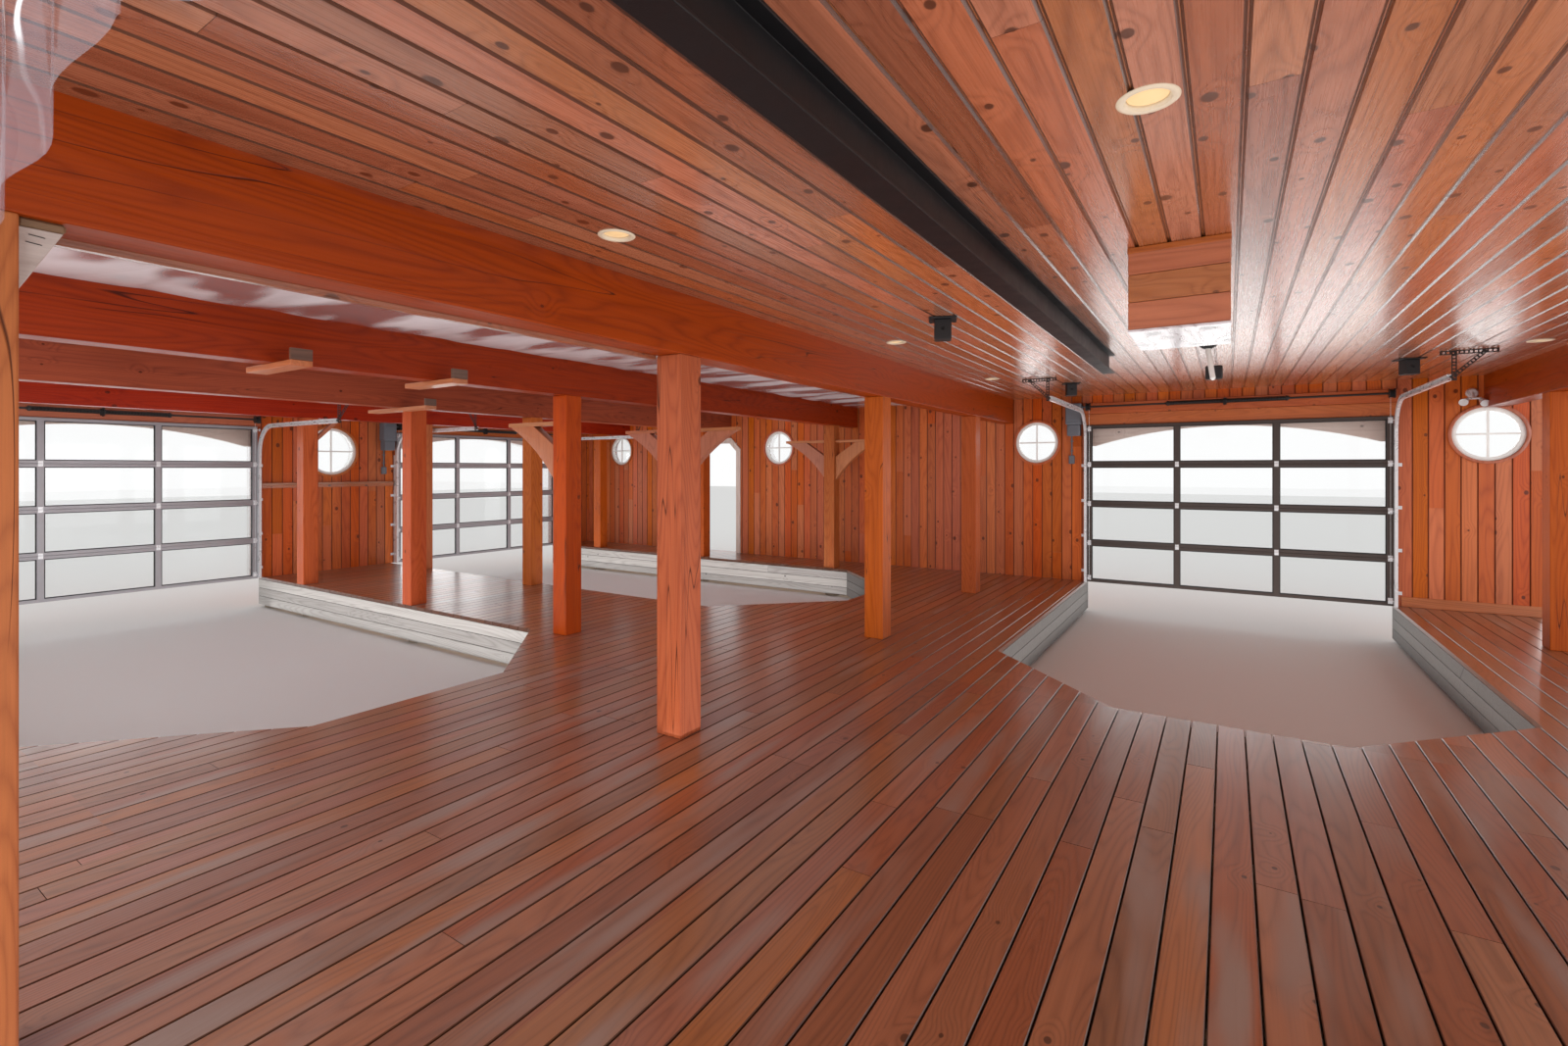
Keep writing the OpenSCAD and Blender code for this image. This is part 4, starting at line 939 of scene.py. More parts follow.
def perforated_strip_into(bm, length, width, thickness, hole, pitch, place):
    """A perforated strip along X from x = 0, with a row of square holes, in the XZ plane."""
    count = max(1, int(length / pitch))
    margin = (length - count * pitch) / 2
    xs = [0.0]
    for i in range(count):
        middle = margin + (i + 0.5) * pitch
        xs += [middle - hole / 2, middle + hole / 2]
    xs.append(length)
    zs = [0.0, (width - hole) / 2, (width + hole) / 2, width]
    kept = {(i, j) for i in range(len(xs) - 1) for j in range(3) if not (i % 2 == 1 and j == 1)}
    front, back = {}, {}

    def corner(store, i, j, y):
        if (i, j) not in store:
            store[i, j] = bm.verts.new(place @ Vector((xs[i], y, zs[j])))
        return store[i, j]

    for i, j in kept:
        ring = [(i, j), (i + 1, j), (i + 1, j + 1), (i, j + 1)]
        bm.faces.new([corner(front, a, b, -thickness / 2) for a, b in ring])
        bm.faces.new([corner(back, a, b, thickness / 2) for a, b in reversed(ring)])
        beside = [(i, j - 1), (i + 1, j), (i, j + 1), (i - 1, j)]
        for near, a, b in zip(beside, ring, ring[1:] + ring[:1]):
            if near not in kept:
                bm.faces.new([corner(front, *b, -thickness / 2), corner(front, *a, -thickness / 2),
                              corner(back, *a, thickness / 2), corner(back, *b, thickness / 2)])


def track_hanger_strips():
    """Perforated strips at the end of each level track: an upright, one on the ceiling and a brace."""
    width, thickness, reach, pitch, apart = 0.036, 0.0035, 0.380, 0.030, 0.0037
    hole, brace_hole = 0.019, 0.017
    level_end = DOOR_T + TRACK_D + TRACK_R + TRACK_L - 0.002

    def fill(bm):
        for place, foot, _ in DOORS.values():
            drop = CEILING_Z - foot
            for side in (1, -1):
                at = place @ mirrored(side) @ moved_by(DOOR_W / 2 + TRACK_W, -level_end, foot)
                upright = at @ moved_by(width, 0.0, 0.0) @ turn_about("Y", -90.0)
                perforated_strip_into(bm, drop, width, thickness, hole, pitch, upright)
                top = at @ moved_by(-reach / 5, apart, drop - width)
                perforated_strip_into(bm, reach, width, thickness, hole, pitch, top)
                lean = Vector((reach * 0.6, 0.0, drop - width))
                slope = Matrix.Rotation(-math.atan2(lean.z, lean.x), 4, "Y")
                brace = at @ moved_by(0.006, -apart, width * 0.3) @ slope
                perforated_strip_into(bm, lean.length, width * 0.9, thickness, brace_hole, pitch, brace)

    simple_piece("track_hanger_strips", fill, "dark", ("track_hangers",))


def spring_gear():
    """Shafts, grooved cable drums, bearing plates and winding cones over each door."""
    half = DOOR_W / 2
    back = SHAFT_OUT - HEADER_T
    drum = [(SHAFT_R, half - DRUM_L), (DRUM_R, half - DRUM_L), (DRUM_R, half - DRUM_L + 0.004)]
    grooves, groove, crest, bed = 7, 0.0055, 0.047, 0.044
    for k in range(grooves):
        z = half - DRUM_L + 0.006 + k * groove
        drum += [(crest, z), (bed, z + groove / 2), (crest, z + groove)]
    drum += [(DRUM_R, half - 0.004), (DRUM_R, half), (SHAFT_R, half)]
    cone = SPRING_L + 0.004
    winding_cone = [
        (SHAFT_R, cone - 0.05), (0.023, cone - 0.05), (0.023, cone + 0.006), (0.032, cone + 0.010),
        (0.032, cone + 0.034), (0.022, cone + 0.040), (SHAFT_R, cone + 0.055)]
    middle_cone = [(SHAFT_R, 0.005), (0.030, 0.005), (0.030, 0.016), (0.022, 0.022), (SHAFT_R, 0.04)]
    bearing = [(SHAFT_R, half - 0.001), (0.026, half + 0.0005), (0.026, half + 0.0038),
               (SHAFT_R, half + 0.0039)]

    def plates(part):
        for x in (-0.004, half - 0.001, -half - 0.003):
            box_into(part, (x, -DRUM_R, -DRUM_R), (x + 0.004, back, DRUM_R), 0.0012)
            box_into(part, (x - 0.018, back - 0.004, -0.044), (x + 0.022, back, 0.044), 0.001)

    def fill(bm):
        for place, _, shaft_z in DOORS.values():
            at = place @ moved_by(0.0, -SHAFT_OUT, shaft_z)
            shaft = [(0.0, -half), (SHAFT_R, -half), (SHAFT_R, half), (0.0, half)]
            lathe_into(bm, shaft, 16, at @ turn_about("Y", 90.0))
            for side in (1, -1):
                out = at @ mirrored(side) @ turn_about("Y", 90.0)
                for profile, sides in ((drum, 28), (winding_cone, 20), (middle_cone, 20), (bearing, 20)):
                    lathe_into(bm, profile, sides, out)
            moved_into(bm, at, plates)

    simple_piece("spring_gear", fill, "dark", ("spring_shafts",), 35)


def door_springs():
    """The torsion springs: two coils on each shaft."""
    places = []
    for place, _, shaft_z in DOORS.values():
        turn = (place.to_3x3() @ Matrix.Rotation(math.radians(90.0), 3, "Y")).to_euler()
        for start in (0.006, -0.006 - SPRING_L):
            places.append((place @ Vector((start, -SHAFT_OUT, shaft_z)), turn))
    wire, wire_pitch = 0.0058, 0.0072
    made = grown("door_springs", points_at("door_springs", places), COIL, {
        "Length": SPRING_L, "Radius": SPRING_R - 0.003, "Wire": wire, "Turns": SPRING_L / wire_pitch,
        "Material": MATERIALS["dark"]})
    add_piece("door_springs", made, None, (), 60)


def hinge_fill(bm):
    """A section hinge on the door's inner face (y = 0), its barrel on the joint at z = 0."""
    for lo, hi in ((-0.034, -0.004), (0.004, 0.034)):
        box_into(bm, (-0.022, -0.003, lo), (0.022, 0.0, hi), 0.0008)
    rod_into(bm, (-0.022, -0.008, 0.0), (0.022, -0.008, 0.0), 0.0065, 10)
    box_into(bm, (-0.020, -0.008, -0.006), (0.020, -0.001, 0.006), 0.0006)
    for x in (-0.013, 0.013):
        for z in (-0.024, 0.024):
            rod_into(bm, (x, -0.003, z), (x, -0.0075, z), 0.0048, 6)


def roller_fill(bm):
    """An edge hinge with its roller: stem along X and the wheel in the track."""
    hinge_fill(bm)
    box_into(bm, (-0.016, -0.034, -0.012), (0.018, -0.002, 0.012), 0.001)
    rod_into(bm, (-0.012, -0.028, 0.0), (0.048, -0.028, 0.0), 0.005, 10)
    wheel = [(0.0, -0.007), (0.014, -0.007), (0.017, -0.004), (0.021, -0.004), (0.021, 0.004),
             (0.017, 0.004), (0.014, 0.007), (0.0, 0.007)]
    lathe_into(bm, wheel, 18, moved_by(0.046, -0.028, 0.0) @ turn_about("Y", 90.0))


def placed(places):
    """Turns a list of matrices into positions and Euler turns for the parts tree."""
    return [(m.to_translation(), m.to_euler()) for m in places]


def door_hinges():
    """Hinges between the sections, with rollers at both edges of the door."""
    plain, edge = [], []
    half, inset, lowest, highest = DOOR_W / 2, 0.031, 0.06, DOOR_H - 0.05
    joints = [row * SECTION_H for row in range(1, DOOR_ROWS)]
    for place, _, _ in DOORS.values():
        face = place @ moved_by(0.0, -DOOR_T, DECK_TOP)
        for z in joints:
            for column in range(1, DOOR_COLS):
                x = -half + DOOR_STILE / 2 + column * (PANE_W + DOOR_STILE)
                plain.append(face @ moved_by(x, 0.0, z))
        for z in [lowest, *joints, highest]:
            edge.append(face @ moved_by(half - inset, 0.0, z))
            edge.append(face @ moved_by(-half + inset, 0.0, z) @ turn_about("Y", 180.0))
    place_on("section_hinges", hinge_fill, placed(plain), "track")
    place_on("roller_hinges", roller_fill, placed(edge), "track")


def glazing_beads():
    """A rubber bead round each pane, on both faces of the glass."""
    def bead(bm):
        w, h, t = PANE_W / 2, PANE_H / 2, 0.010
        for y0, y1 in ((-0.0135, -0.0045), (0.0045, 0.0135)):
            for z in (-h, h - t):
                box_into(bm, (-w, y0, z), (w, y1, z + t), 0.001)
            for x in (-w, w - t):
                box_into(bm, (x, y0, -h + t), (x + t, y1, h - t), 0.001)

    places = []
    for place, _, _ in DOORS.values():
        for row in range(DOOR_ROWS):
            for column in range(DOOR_COLS):
                x = -DOOR_W / 2 + DOOR_STILE + PANE_W / 2 + column * (PANE_W + DOOR_STILE)
                z = DECK_TOP + row * SECTION_H + DOOR_RAIL + PANE_H / 2
                places.append(place @ moved_by(x, -DOOR_T / 2, z))
    place_on("glazing_beads", bead, placed(places), "gasket", smooth=None)


def track_brackets():
    """Bolted angle brackets that hold the upright tracks to the wall, and a splice at each bend."""
    def bracket(bm):
        box_into(bm, (0.0, -0.070, -0.020), (0.003, 0.0, 0.020), 0.0008)
        box_into(bm, (0.0, -0.003, -0.020), (0.050, 0.0, 0.020), 0.0008)
        for x in (0.034, 0.018):
            rod_into(bm, (x, -0.003, 0.0), (x, -0.003 - 0.006, 0.0), 0.006, 6)
        rod_into(bm, (0.003, -0.055, 0.0), (0.010, -0.055, 0.0), 0.006, 6)

    def splice(bm):
        box_into(bm, (0.0, -0.070, 0.008), (0.003, 0.070, 0.048), 0.0008)
        for y in (-0.05, -0.02, 0.02, 0.05):
            rod_into(bm, (0.003, y, 0.028), (0.009, y, 0.028), 0.005, 6)

    uprights, splices, heights = [], [], (0.15, 0.65, 1.15, 1.65)
    for place, foot, _ in DOORS.values():
        for side in (1.0, -1.0):
            edge = place @ mirrored(side) @ moved_by(DOOR_W / 2 + TRACK_W, 0.0, 0.0)
            uprights += [edge @ moved_by(0.0, 0.0, DECK_TOP + z) for z in heights]
            splices.append(edge @ moved_by(0.0, -DOOR_T - TRACK_D - TRACK_R, foot))

    def fill(bm):
        for places, shape in ((uprights, bracket), (splices, splice)):
            for at in places:
                moved_into(bm, at, shape)

    simple_piece("track_brackets", fill, "track", smooth=30)


def lift_cables():
    """Taut cables from the drums down to the foot of each door."""
    def fill(bm):
        for place, _, shaft_z in DOORS.values():
            for side in (1, -1):
                x = side * (DOOR_W / 2 - 0.030)
                top, foot = Vector((x, -0.0500, shaft_z)), Vector((x, -0.0520, DECK_TOP + 0.060))
                rod_into(bm, place @ top, place @ foot, 0.002, 6)

    simple_piece("lift_cables", fill, "track")


def door_openers():
    """A side-mounted opener on the wall beside each door, with its cover, foot and conduit."""
    out, stub_z, beside = -SHAFT_OUT, 0.345, 0.165

    def opener(bm):
        box_into(bm, (-0.105, -0.165, 0.10), (0.105, 0.0, 0.40), 0.014)
        box_into(bm, (-0.085, -0.150, -0.06), (0.085, 0.0, 0.10), 0.010)
        box_into(bm, (-0.095, -0.172, 0.16), (0.095, -0.160, 0.34), 0.004)
        collar = [(0.0, -0.015), (0.034, -0.015), (0.034, 0.0), (0.0, 0.0)]
        lathe_into(bm, collar, 24, moved_by(0.105, out, stub_z) @ turn_about("Y", 90.0))
        rod_into(bm, (0.10, out, stub_z), (beside, out, stub_z), SHAFT_R, 14)
        rod_into(bm, (-0.04, -0.022, -0.06), (-0.04, -0.022, -0.34), 0.010, 12)
        box_into(bm, (-0.078, -0.045, -0.46), (-0.002, 0.0, -0.34), 0.005)
        for z in (-0.14, -0.28):
            box_into(bm, (-0.060, -0.034, z), (-0.020, 0.0, z + 0.012), 0.002)

    places = [place @ moved_by(-DOOR_W / 2 - beside, 0.0, shaft_z - stub_z)
              for place, _, shaft_z in DOORS.values()]
    place_on("door_openers", opener, placed(places), "plastic")


def header_boards():
    """Level boards on the wall over each door: two over the end door, one over each side door."""
    half, foot, joint = DOOR_W / 2 + 0.050, DECK_TOP + DOOR_H + 0.006, 0.001

    def fill(bm):
        for name, (place, _, shaft_z) in DOORS.items():
            count = 2 if name == "end" else 1
            step = (shaft_z + DRUM_R - foot) / count

            def boards(part):
                for k in range(count):
                    box_into(part, (-half, -HEADER_T, foot + k * step + joint),
                             (half, 0.0, foot + (k + 1) * step - joint), 0.004)

            moved_into(bm, place, boards)
        for face in bm.faces:
            face.material_index = 0 if face.calc_center_median().y > END_WALL_Y - 0.1 else 1

    mesh = mesh_from("header_boards", fill)
    mark_pieces(mesh, 15)
    mesh.materials.append(MATERIALS["header_x"])
    mesh.materials.append(MATERIALS["header_y"])
    add_piece("header_boards", mesh, None, ("door_headers",))


track_hanger_strips()
spring_gear()
door_springs()
door_hinges()
glazing_beads()
track_brackets()
lift_cables()
door_openers()
header_boards()


# Timber trim

def beam_arm_pieces():
    """Arms across the undersides of the beams, with their dark stop boards."""
    top = low("slip_beams").z
    lengths = part_boxes("beam_arms")

    def boards(bm):
        for lo, hi in lengths:
            box_into(bm, lo, (hi.x, hi.y, top), 0.003)

    def stops(bm):
        for lo, hi in lengths:
            box_into(bm, (hi.x - 0.028, lo.y, top + 0.0003), hi, 0.002)

    simple_piece("beam_arm_boards", boards, "arm", ("beam_arms",), seed=12)
    simple_piece("arm_stops", stops, "stop", seed=13)


def wedge_pieces():
    """The wedge at the first lounge post: a pale slanted block under a dark board, held by two staples."""
    lo, hi = low("beam_wedge"), high("beam_wedge")
    board_t = 0.026

    def block(bm):
        top = hi.z - board_t - 0.0005
        outline = [(lo.y, top), (hi.y - 0.006, top), (lo.y, lo.z)]
        left = [bm.verts.new((lo.x + 0.004, y, z)) for y, z in outline]
        right = [bm.verts.new((hi.x - 0.002, y, z)) for y, z in outline]
        bm.faces.new(left)
        bm.faces.new(reversed(right))
        for i in range(3):
            j = (i + 1) % 3
            bm.faces.new((left[j], left[i], right[i], right[j]))
        bmesh.ops.bevel(bm, geom=bm.edges[:], offset=0.002, segments=1, affect="EDGES")

    def board(bm):
        box_into(bm, (lo.x, lo.y, hi.z - board_t), (hi.x, hi.y, hi.z), 0.007)

    def staples(bm):
        wire, out, into, length, slant = 0.0013, hi.x - 0.001, hi.x - 0.006, 0.030, -0.003
        starts = ((-5.023, hi.z - 0.045), (-5.029, hi.z - 0.066))
        for y, z in starts:
            rod_into(bm, (out, y, z), (out, y + length, z + slant), wire, 8)
            for dy, dz in ((0.0, 0.0), (length, slant)):
                rod_into(bm, (into, y + dy, z + dz), (out, y + dy, z + dz), wire, 8)

    simple_piece("wedge_block", block, "pale", ("beam_wedge",), seed=14)
    simple_piece("wedge_board", board, "olive", seed=15)
    simple_piece("wedge_staples", staples, "dark")


def wall_trim():
    """The ledger beside the lounge beam, the ledge on the left wall and the end wall's foot board."""
    def along_y(bm):
        beam_side, ledger_start, ledger_end = low("lounge_beam").x, OPEN_Y + 0.30, -2.385
        box_into(bm, (beam_side - 0.034, ledger_start, BEAM_Z - 0.022),
                 (beam_side - 0.0005, ledger_end, BEAM_Z + 0.075), 0.003)
        ledge_z = DECK_TOP + 1.36
        wall = LEFT_WALL_X + 0.0003
        lo_y, hi_y = low("left_wall_middle").y + 0.075, high("left_wall_middle").y - 0.075
        box_into(bm, (wall, lo_y, ledge_z), (LEFT_WALL_X + 0.052, hi_y, ledge_z + 0.032), 0.004)
        box_into(bm, (wall, lo_y, ledge_z - 0.045), (LEFT_WALL_X + 0.020, hi_y, ledge_z - 0.0005), 0.003)

    def along_x(bm):
        lo_x, hi_x = low("end_wall_right").x + 0.10, high("end_wall_right").x - 0.004
        box_into(bm, (lo_x, END_WALL_Y - 0.020, DECK_TOP + 0.0005),
                 (hi_x, END_WALL_Y - 0.0003, DECK_TOP + 0.115), 0.004)

    simple_piece("ledger_and_ledge", along_y, "ceiling", seed=16)
    simple_piece("foot_board", along_x, "header_x", seed=17)


def ceiling_chest():
    """The box under the lounge ceiling: level boards on its sides and a plywood plate below."""
    lo, hi = low("ceiling_box"), high("ceiling_box")
    plate_t, inset, joint, rows = 0.012, 0.003, 0.0008, 3

    def sides(bm):
        height = (hi.z - lo.z - plate_t) / rows
        for k in range(rows):
            z0 = lo.z + plate_t + k * height
            box_into(bm, (lo.x + inset, lo.y + inset, z0 + joint),
                     (hi.x - inset, hi.y - inset, z0 + height - joint), 0.003)
        box_into(bm, (lo.x, lo.y, hi.z - 0.030), hi, 0.004)

    def plate(bm):
        box_into(bm, lo, (hi.x, hi.y, lo.z + plate_t), 0.002)

    simple_piece("ceiling_chest", sides, "chest", ("ceiling_box",), seed=18)
    simple_piece("chest_plate", plate, "plate", seed=19)


beam_arm_pieces()
wedge_pieces()
wall_trim()
ceiling_chest()


# Lamps and fittings

def lamp_middles():
    """Middles of the recessed lights, from their node's vertices."""
    apart = 0.5
    found = []
    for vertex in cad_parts["recessed_lights"].data.vertices:
        spot = vertex.co.xy
        near = next((group for group in found if (group[0] - spot).length < apart), None)
        if near is None:
            found.append([spot])
        else:
            near.append(spot)
    return [Vector([min(p[i] for p in group) + max(p[i] for p in group) for i in range(2)]) / 2
            for group in found]


def recessed_lamps():
    """Trim rings with a rolled edge and stepped baffles, and the glowing lens deep in each."""
    def trim(bm):
        lathe_into(bm, [(0.056, 0.010), (0.056, 0.004), (0.060, 0.0), (0.062, -0.0035), (0.070, -0.0058),
                        (0.078, -0.0050), (0.0825, -0.0015), (0.0825, 0.0), (0.062, 0.0), (0.060, 0.0125),
                        (0.050, 0.0125), (0.050, 0.010)], 48)

    def lens(bm):
        lathe_into(bm, [(0.0, 0.0012), (0.020, 0.0018), (0.040, 0.0045), (0.0555, 0.0098), (0.0555, 0.012),
                        (0.0, 0.012)], 40)

    places = [(Vector((m.x, m.y, CEILING_Z)), Euler()) for m in lamp_middles()]
    place_on("lamp_trims", trim, places, "cream", ("recessed_lights",), smooth=40)
    place_on("lamp_lenses", lens, places, "lamp", smooth=40)


def ceiling_speakers():
    """Small black boxes on flanges under the lounge ceiling."""
    def box(bm):
        box_into(bm, (-0.095, -0.095, -0.010), (0.095, 0.095, 0.0), 0.003)
        box_into(bm, (-0.058, -0.058, -0.150), (0.058, 0.058, -0.010), 0.006)
        port = [(0.0, 0.0), (0.010, 0.0), (0.014, 0.003), (0.018, 0.003), (0.020, -0.002), (0.0, -0.002)]
        lathe_into(bm, port, 20, moved_by(0.0, -0.058, -0.075) @ turn_about("X", 90.0))
        for x in (-0.080, 0.080):
            for y in (-0.080, 0.080):
                rod_into(bm, (x, y, -0.010), (x, y, -0.014), 0.006, 6)

    turn = Euler((0.0, 0.0, math.radians(20.0)))
    spots = ((2.994, -0.859), (3.053, 3.491), (6.108, 3.220))
    places = [(Vector((x, y, CEILING_Z)), turn) for x, y in spots]
    place_on("ceiling_speakers", box, places, "gasket")


def tube_lamp():
    """A white tube lamp behind the ceiling box, with its dark mount and clamp."""
    mount, top = (4.520, 1.341), CEILING_Z - 0.030
    knee, foot = (4.555, 1.300, CEILING_Z - 0.285), (4.557, 1.298, CEILING_Z - 0.300)

    def tube(bm):
        rod_into(bm, (*mount, top), knee, 0.021, 20)
        rod_into(bm, knee, foot, 0.021, 20, 0.010)

    def mount_parts(bm):
        rose = [(0.0, -0.030), (0.030, -0.030), (0.060, -0.012), (0.066, 0.0), (0.0, 0.0)]
        lathe_into(bm, rose, 28, moved_by(*mount, CEILING_Z))
        box_into(bm, (4.500, 1.325, CEILING_Z - 0.290), (4.625, 1.385, CEILING_Z - 0.175), 0.010)

    simple_piece("tube_lamp", tube, "white", smooth=40)
    simple_piece("tube_lamp_mount", mount_parts, "gasket", smooth=40)


def twin_lamp():
    """A twin-head lamp high on the end wall, at its right end."""
    left_x, middle_x, right_x, bar_y = 6.900, 6.960, 7.020, END_WALL_Y - 0.080
    rose_z, arm_end_z, bar_z, heads_z = 2.900, 2.840, 2.835, 2.820

    def fill(bm):
        rose = [(0.0, 0.0), (0.055, 0.0), (0.055, 0.012), (0.040, 0.030), (0.0, 0.030)]
        lathe_into(bm, rose, 28, moved_by(middle_x, END_WALL_Y, rose_z) @ turn_about("X", 90.0))
        rod_into(bm, (middle_x, END_WALL_Y - 0.025, rose_z), (middle_x, bar_y, arm_end_z), 0.010, 12)
        rod_into(bm, (left_x, bar_y, bar_z), (right_x, bar_y, bar_z), 0.012, 12)
        for x, aim in ((left_x, (-0.05, -0.115, -0.035)), (right_x, (0.01, -0.09, -0.05))):
            start = Vector((x, bar_y, heads_z))
            rod_into(bm, start, start + Vector(aim), 0.022, 20, 0.040)

    simple_piece("twin_lamp", fill, "track", smooth=40)


recessed_lamps()
ceiling_speakers()
tube_lamp()
twin_lamp()


def clear_curtain():
    """The clear sheet rolled up in swags along the open side of the lounge."""
    lo, hi = low("clear_curtain"), high("clear_curtain")
    swags, rise, top = 5, 0.095, hi.z - 0.0005
    columns, rows = 330, 26
    fold_pitch, fold_depth, fold_wander = 0.185, 0.0078, 0.0028
    middle = (lo.y + hi.y) / 2

    def spot(share, up):
        x = lo.x + (hi.x - lo.x) * share
        side = 2 * (share * swags % 1.0) - 1
        foot = lo.z + rise * side * side + 0.002
        z = foot + (top - foot) * up
        fold = math.sin(2 * math.pi * x / fold_pitch + 1.4 * noise.noise(Vector((x * 1.3, z * 1.1, 2.0))))
        wander = noise.noise(Vector((x * 3.0, z * 4.0, 7.0)))
        return x, middle + (fold_depth * fold + fold_wander * wander) * (0.35 + 0.65 * (1 - up)), z

    def fill(bm):
        grid = [[bm.verts.new(spot(i / columns, j / rows)) for j in range(rows + 1)]
                for i in range(columns + 1)]
        for i in range(columns):
            for j in range(rows):
                bm.faces.new((grid[i][j], grid[i + 1][j], grid[i + 1][j + 1], grid[i][j + 1]))

    name = "clear_curtain_sheet"
    mesh = mesh_from(name, fill)
    piece = add_piece(name, mesh, "sheet", ("clear_curtain",), 180)


clear_curtain()


# Roof: slopes with shingle courses, caps over hips and ridge, boarded eaves
ROOF_ANGLE = math.radians(22.6)
ROOF_DROP = 0.024
ROOF_LOW, ROOF_HIGH = (Vector(corner) for corner in CAD_BOX)
ROOF_MIDDLE = (ROOF_LOW + ROOF_HIGH) / 2
ROOF_HALF_X = (ROOF_HIGH.x - ROOF_LOW.x) / 2
ROOF_HALF_Y = (ROOF_HIGH.y - ROOF_LOW.y) / 2


def roof_slabs():
    """The slopes' boarding under the shingles: the CAD slabs with their tops a little lower."""
    for node in ["roof_front", "roof_back", "roof_left", "roof_right"]:
        mesh = merged(node)
        for index in {v for p in mesh.polygons if p.normal.z > 0.3 for v in p.vertices}:
            mesh.vertices[index].co.z -= ROOF_DROP
        mark_pieces(mesh, 3)
        add_piece(node + "_slab", mesh, "fascia", (node,))


def roof_shingles():
    """The shingles of each slope, turned from the XY plane to where the slope is."""
    inset = 0.006
    half_x, half_y = ROOF_HALF_X - inset, ROOF_HALF_Y - inset
    eave_z = ROOF_HIGH.z - half_y * math.tan(ROOF_ANGLE) - ROOF_DROP
    to_roof = moved_by(ROOF_MIDDLE.x, ROOF_MIDDLE.y, eave_z)
    for number, (side, turn, out, eave) in enumerate([
            ("front", 0.0, half_y, 2 * half_x), ("right", 90.0, half_x, 2 * half_y),
            ("back", 180.0, half_y, 2 * half_x), ("left", 270.0, half_x, 2 * half_y)]):
        name = "roof_" + side + "_shingles"
        made = grown(name, bpy.data.meshes.new("shingles"), SHINGLES, {
            "Eave": eave, "Reach": half_y / math.cos(ROOF_ANGLE), "Hip": math.cos(ROOF_ANGLE),
            "Exposure": 0.140, "Lap": 0.055, "Width": 0.205, "Gap": 0.005, "Butt": 0.0105, "Tip": 0.003,
            "Seed": 50 + number, "Material": MATERIALS["shingle"]})
        tilt = moved_by(0.0, -out, 0.0) @ Matrix.Rotation(ROOF_ANGLE, 4, "X")
        made.transform(to_roof @ turn_about("Z", turn) @ tilt)
        add_piece(name, made, None)


def roof_caps():
    """Bent cap shingles over the four hips and the ridge."""
    pitch, length, width = 0.14, 0.19, 0.105
    butt, tip, corner_gap = 0.0095, 0.0020, 0.13
    ridge_z = ROOF_HIGH.z - ROOF_DROP + 0.0105
    lean, rise = math.sin(ROOF_ANGLE), math.cos(ROOF_ANGLE)
    ends = [Vector((ROOF_MIDDLE.x + side * (ROOF_HALF_X - ROOF_HALF_Y), ROOF_MIDDLE.y, ridge_z))
            for side in (-1, 1)]

    # Each line: its two ends, and the facing of the slopes on both of its sides
    lines = [(*ends, Vector((0.0, -lean, rise)), Vector((0.0, lean, rise)))]
    for side, end in zip((-1, 1), ends):
        for way in (-1, 1):
            corner = Vector((ROOF_MIDDLE.x + side * ROOF_HALF_X, ROOF_MIDDLE.y + way * ROOF_HALF_Y,
                             ridge_z - ROOF_HALF_Y * math.tan(ROOF_ANGLE)))
            corner += (end - corner).normalized() * corner_gap
            lines.append((corner, end, Vector((side * lean, 0.0, rise)), Vector((0.0, way * lean, rise))))

    def section(bm, spot, wings, up, thick):
        """The outline of a cap across its line: along the underside, then back along the top."""
        (w0, n0), (w1, n1) = wings
        ring = [spot + w0 * width + n0 * 0.0005, spot + up * 0.0003, spot + w1 * width + n1 * 0.0005,
                spot + w1 * width + n1 * thick * 0.7, spot + up * thick * 0.75,
                spot + w0 * width + n0 * thick * 0.7]
        return [bm.verts.new(p) for p in ring]

    def fill(bm):
        for start, end, n0, n1 in lines:
            along, reach = (end - start).normalized(), (end - start).length
            up = (n0 + n1).normalized()
            wings = []
            for n, other in ((n0, n1), (n1, n0)):
                w = n.cross(along).normalized()
                wings.append((-w if w.dot(other) > 0 else w, n))
            count = int(reach / pitch)
            for k in range(count):
                at = start + along * (k * reach / count + 0.004)
                room = reach - k * reach / count - 0.006
                a, b = (section(bm, at + along * min(step, room), wings, up, thick)
                        for step, thick in ((0.0, butt), (length, tip)))
                for i in range(6):
                    j = (i + 1) % 6
                    bm.faces.new((a[i], a[j], b[j], b[i]))
                for ring in (a, b):
                    bm.faces.new((ring[0], ring[1], ring[4], ring[5]))
                    bm.faces.new((ring[1], ring[2], ring[3], ring[4]))

    simple_piece("roof_caps", fill, "shingle", seed=8)


roof_slabs()
roof_shingles()
roof_caps()

# CAD nodes that keep their shape and get a finish
for node, material in [
        ("entry_casing", "casing"), ("dock_frame", "framing"), ("ceiling_joists", "framing"),
        ("rim_boards", "fascia"), ("door_glass", "glass"), ("window_glass", "glass"),
        ("first_door_tracks", "track"), ("second_door_tracks", "track"), ("end_door_tracks", "track")]:
    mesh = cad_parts[node].data
    mesh.materials.clear()
    mesh.materials.append(MATERIALS[material])

# Floor and backdrop: the world is white where the camera, a mirror or glass looks at it
FLOOR_SPAN = 60.0
floor_mesh = mesh_from("floor", lambda bm: bmesh.ops.create_grid(
    bm, x_segments=1, y_segments=1, size=FLOOR_SPAN))
floor = link(bpy.data.objects.new("floor", floor_mesh))
floor_material, floor_graph, floor_shader = new_material("pale_floor")
floor_graph.put_all(floor_shader, {"Base Color": opaque((0.80, 0.80, 0.79)), "Roughness": 0.9})
floor_mesh.materials.append(floor_material)

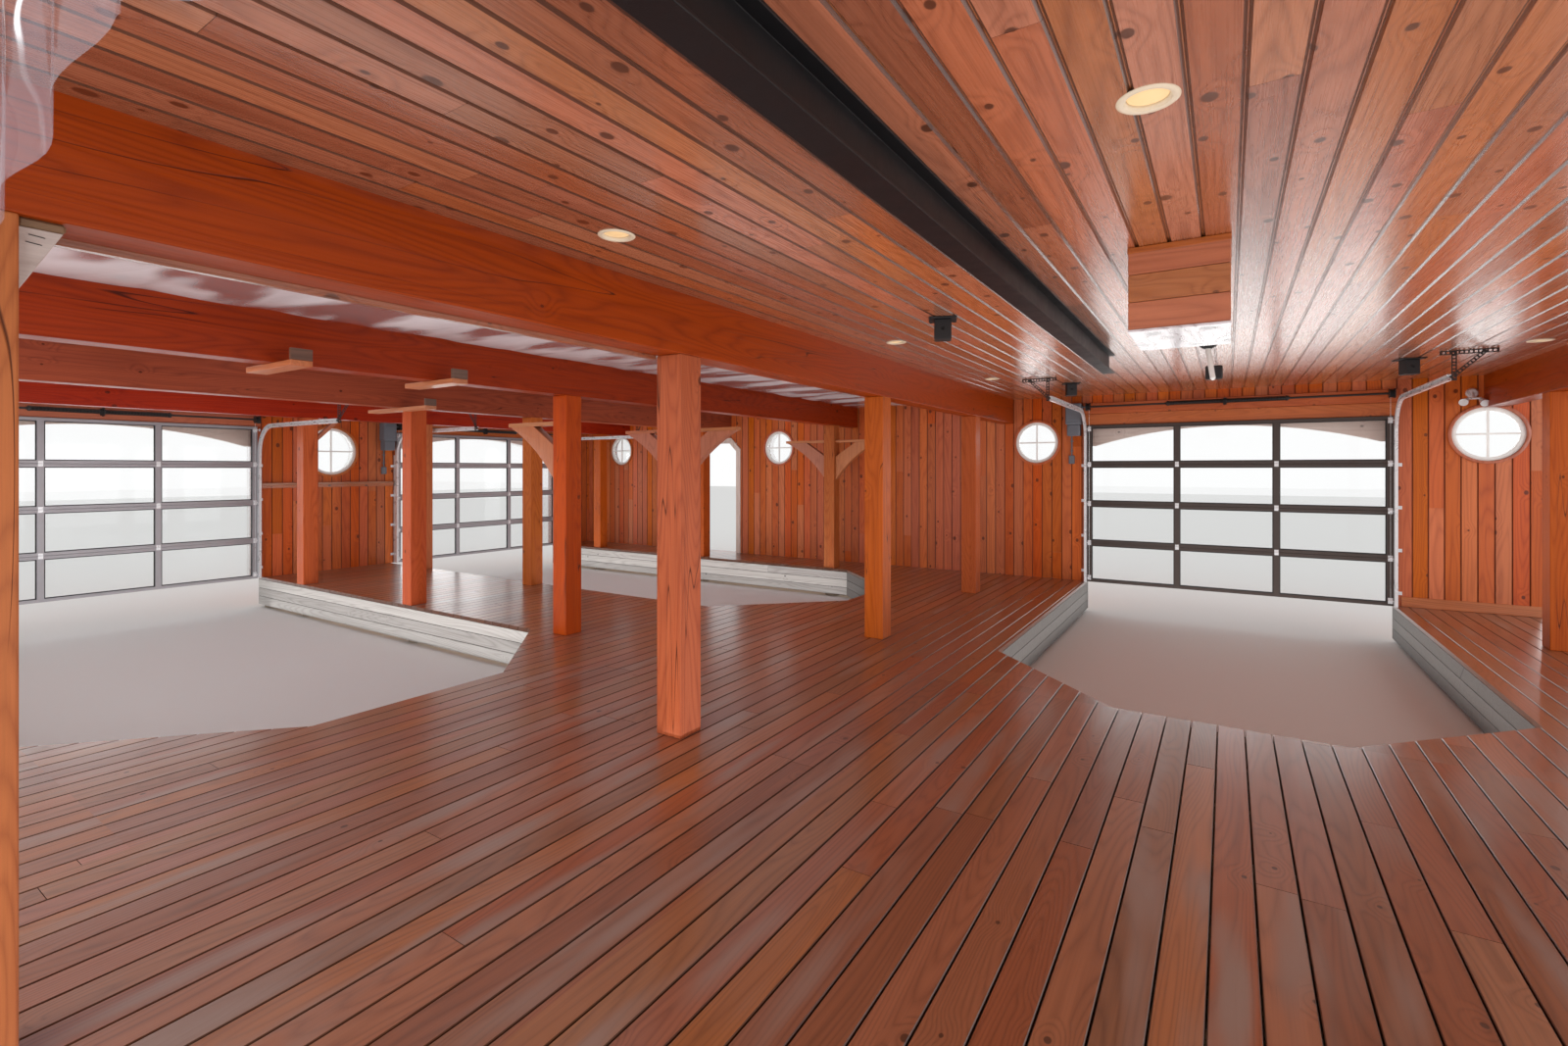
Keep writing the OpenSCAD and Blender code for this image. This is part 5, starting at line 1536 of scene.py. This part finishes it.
WORLD_LEVEL = 0.85
world = bpy.data.worlds.new("studio")
SCENE.world = world
world.use_nodes = True
sky = Graph(world.node_tree)
rays = sky.node("ShaderNodeLightPath").outputs
mirrored_or_through = sky.calc("MAXIMUM", rays["Is Glossy Ray"], rays["Is Transmission Ray"])
seen = sky.calc("MAXIMUM", rays["Is Camera Ray"], mirrored_or_through)
sky.put_all(world.node_tree.nodes["Background"], {
    "Color": opaque((1.0, 1.0, 1.0)), "Strength": sky.add(WORLD_LEVEL, sky.mul(seen, 1.0 - WORLD_LEVEL))})

# The large lamps beside the building leave out the floor, which the world lights by itself
floor_only = bpy.data.collections.new("floor_only")
floor_only.objects.link(floor)


def area_light(name, place, aim, size_x, size_y, watts, beside=False, reflected=False):
    """A soft rectangular lamp that neither the camera nor glass sees."""
    data = bpy.data.lights.new(name, "AREA")
    data.shape = "RECTANGLE"
    data.size = size_x
    data.size_y = size_y
    data.energy = watts
    lamp = link(bpy.data.objects.new(name, data))
    lamp.location = place
    lamp.rotation_euler = (Vector(aim) - Vector(place)).to_track_quat("-Z", "Y").to_euler()
    lamp.visible_camera = False
    lamp.visible_glossy = reflected
    lamp.visible_transmission = False
    if beside:
        lamp.light_linking.receiver_collection = floor_only
        floor_only.collection_objects[0].light_linking.link_state = "EXCLUDE"


area_light("front_light", (1.0, -9.5, 2.4), (0.5, 0.0, 1.8), 14.0, 4.0, 620.0, beside=True)
area_light("right_light", (12.0, -1.0, 1.9), (4.0, 0.0, 2.3), 13.0, 3.6, 330.0, beside=True, reflected=True)
area_light("end_light", (4.0, 10.5, 1.6), (4.2, 2.0, 2.7), 11.0, 3.6, 320.0, beside=True, reflected=True)
area_light("left_light", (-12.5, 0.0, 1.7), (-3.0, 0.0, 2.4), 12.0, 3.4, 330.0, beside=True, reflected=True)
area_light("deck_bounce", (4.3, -2.6, DECK_TOP + 0.02), (4.3, -2.6, 4.0), 5.0, 5.0, 120.0)
area_light("slip_bounce", (-3.6, 0.0, 0.05), (-3.6, 0.0, 4.0), 7.0, 9.5, 300.0)
area_light("end_slip_bounce", (4.6, 2.6, 0.05), (4.6, 2.6, 4.0), 3.0, 5.0, 110.0)
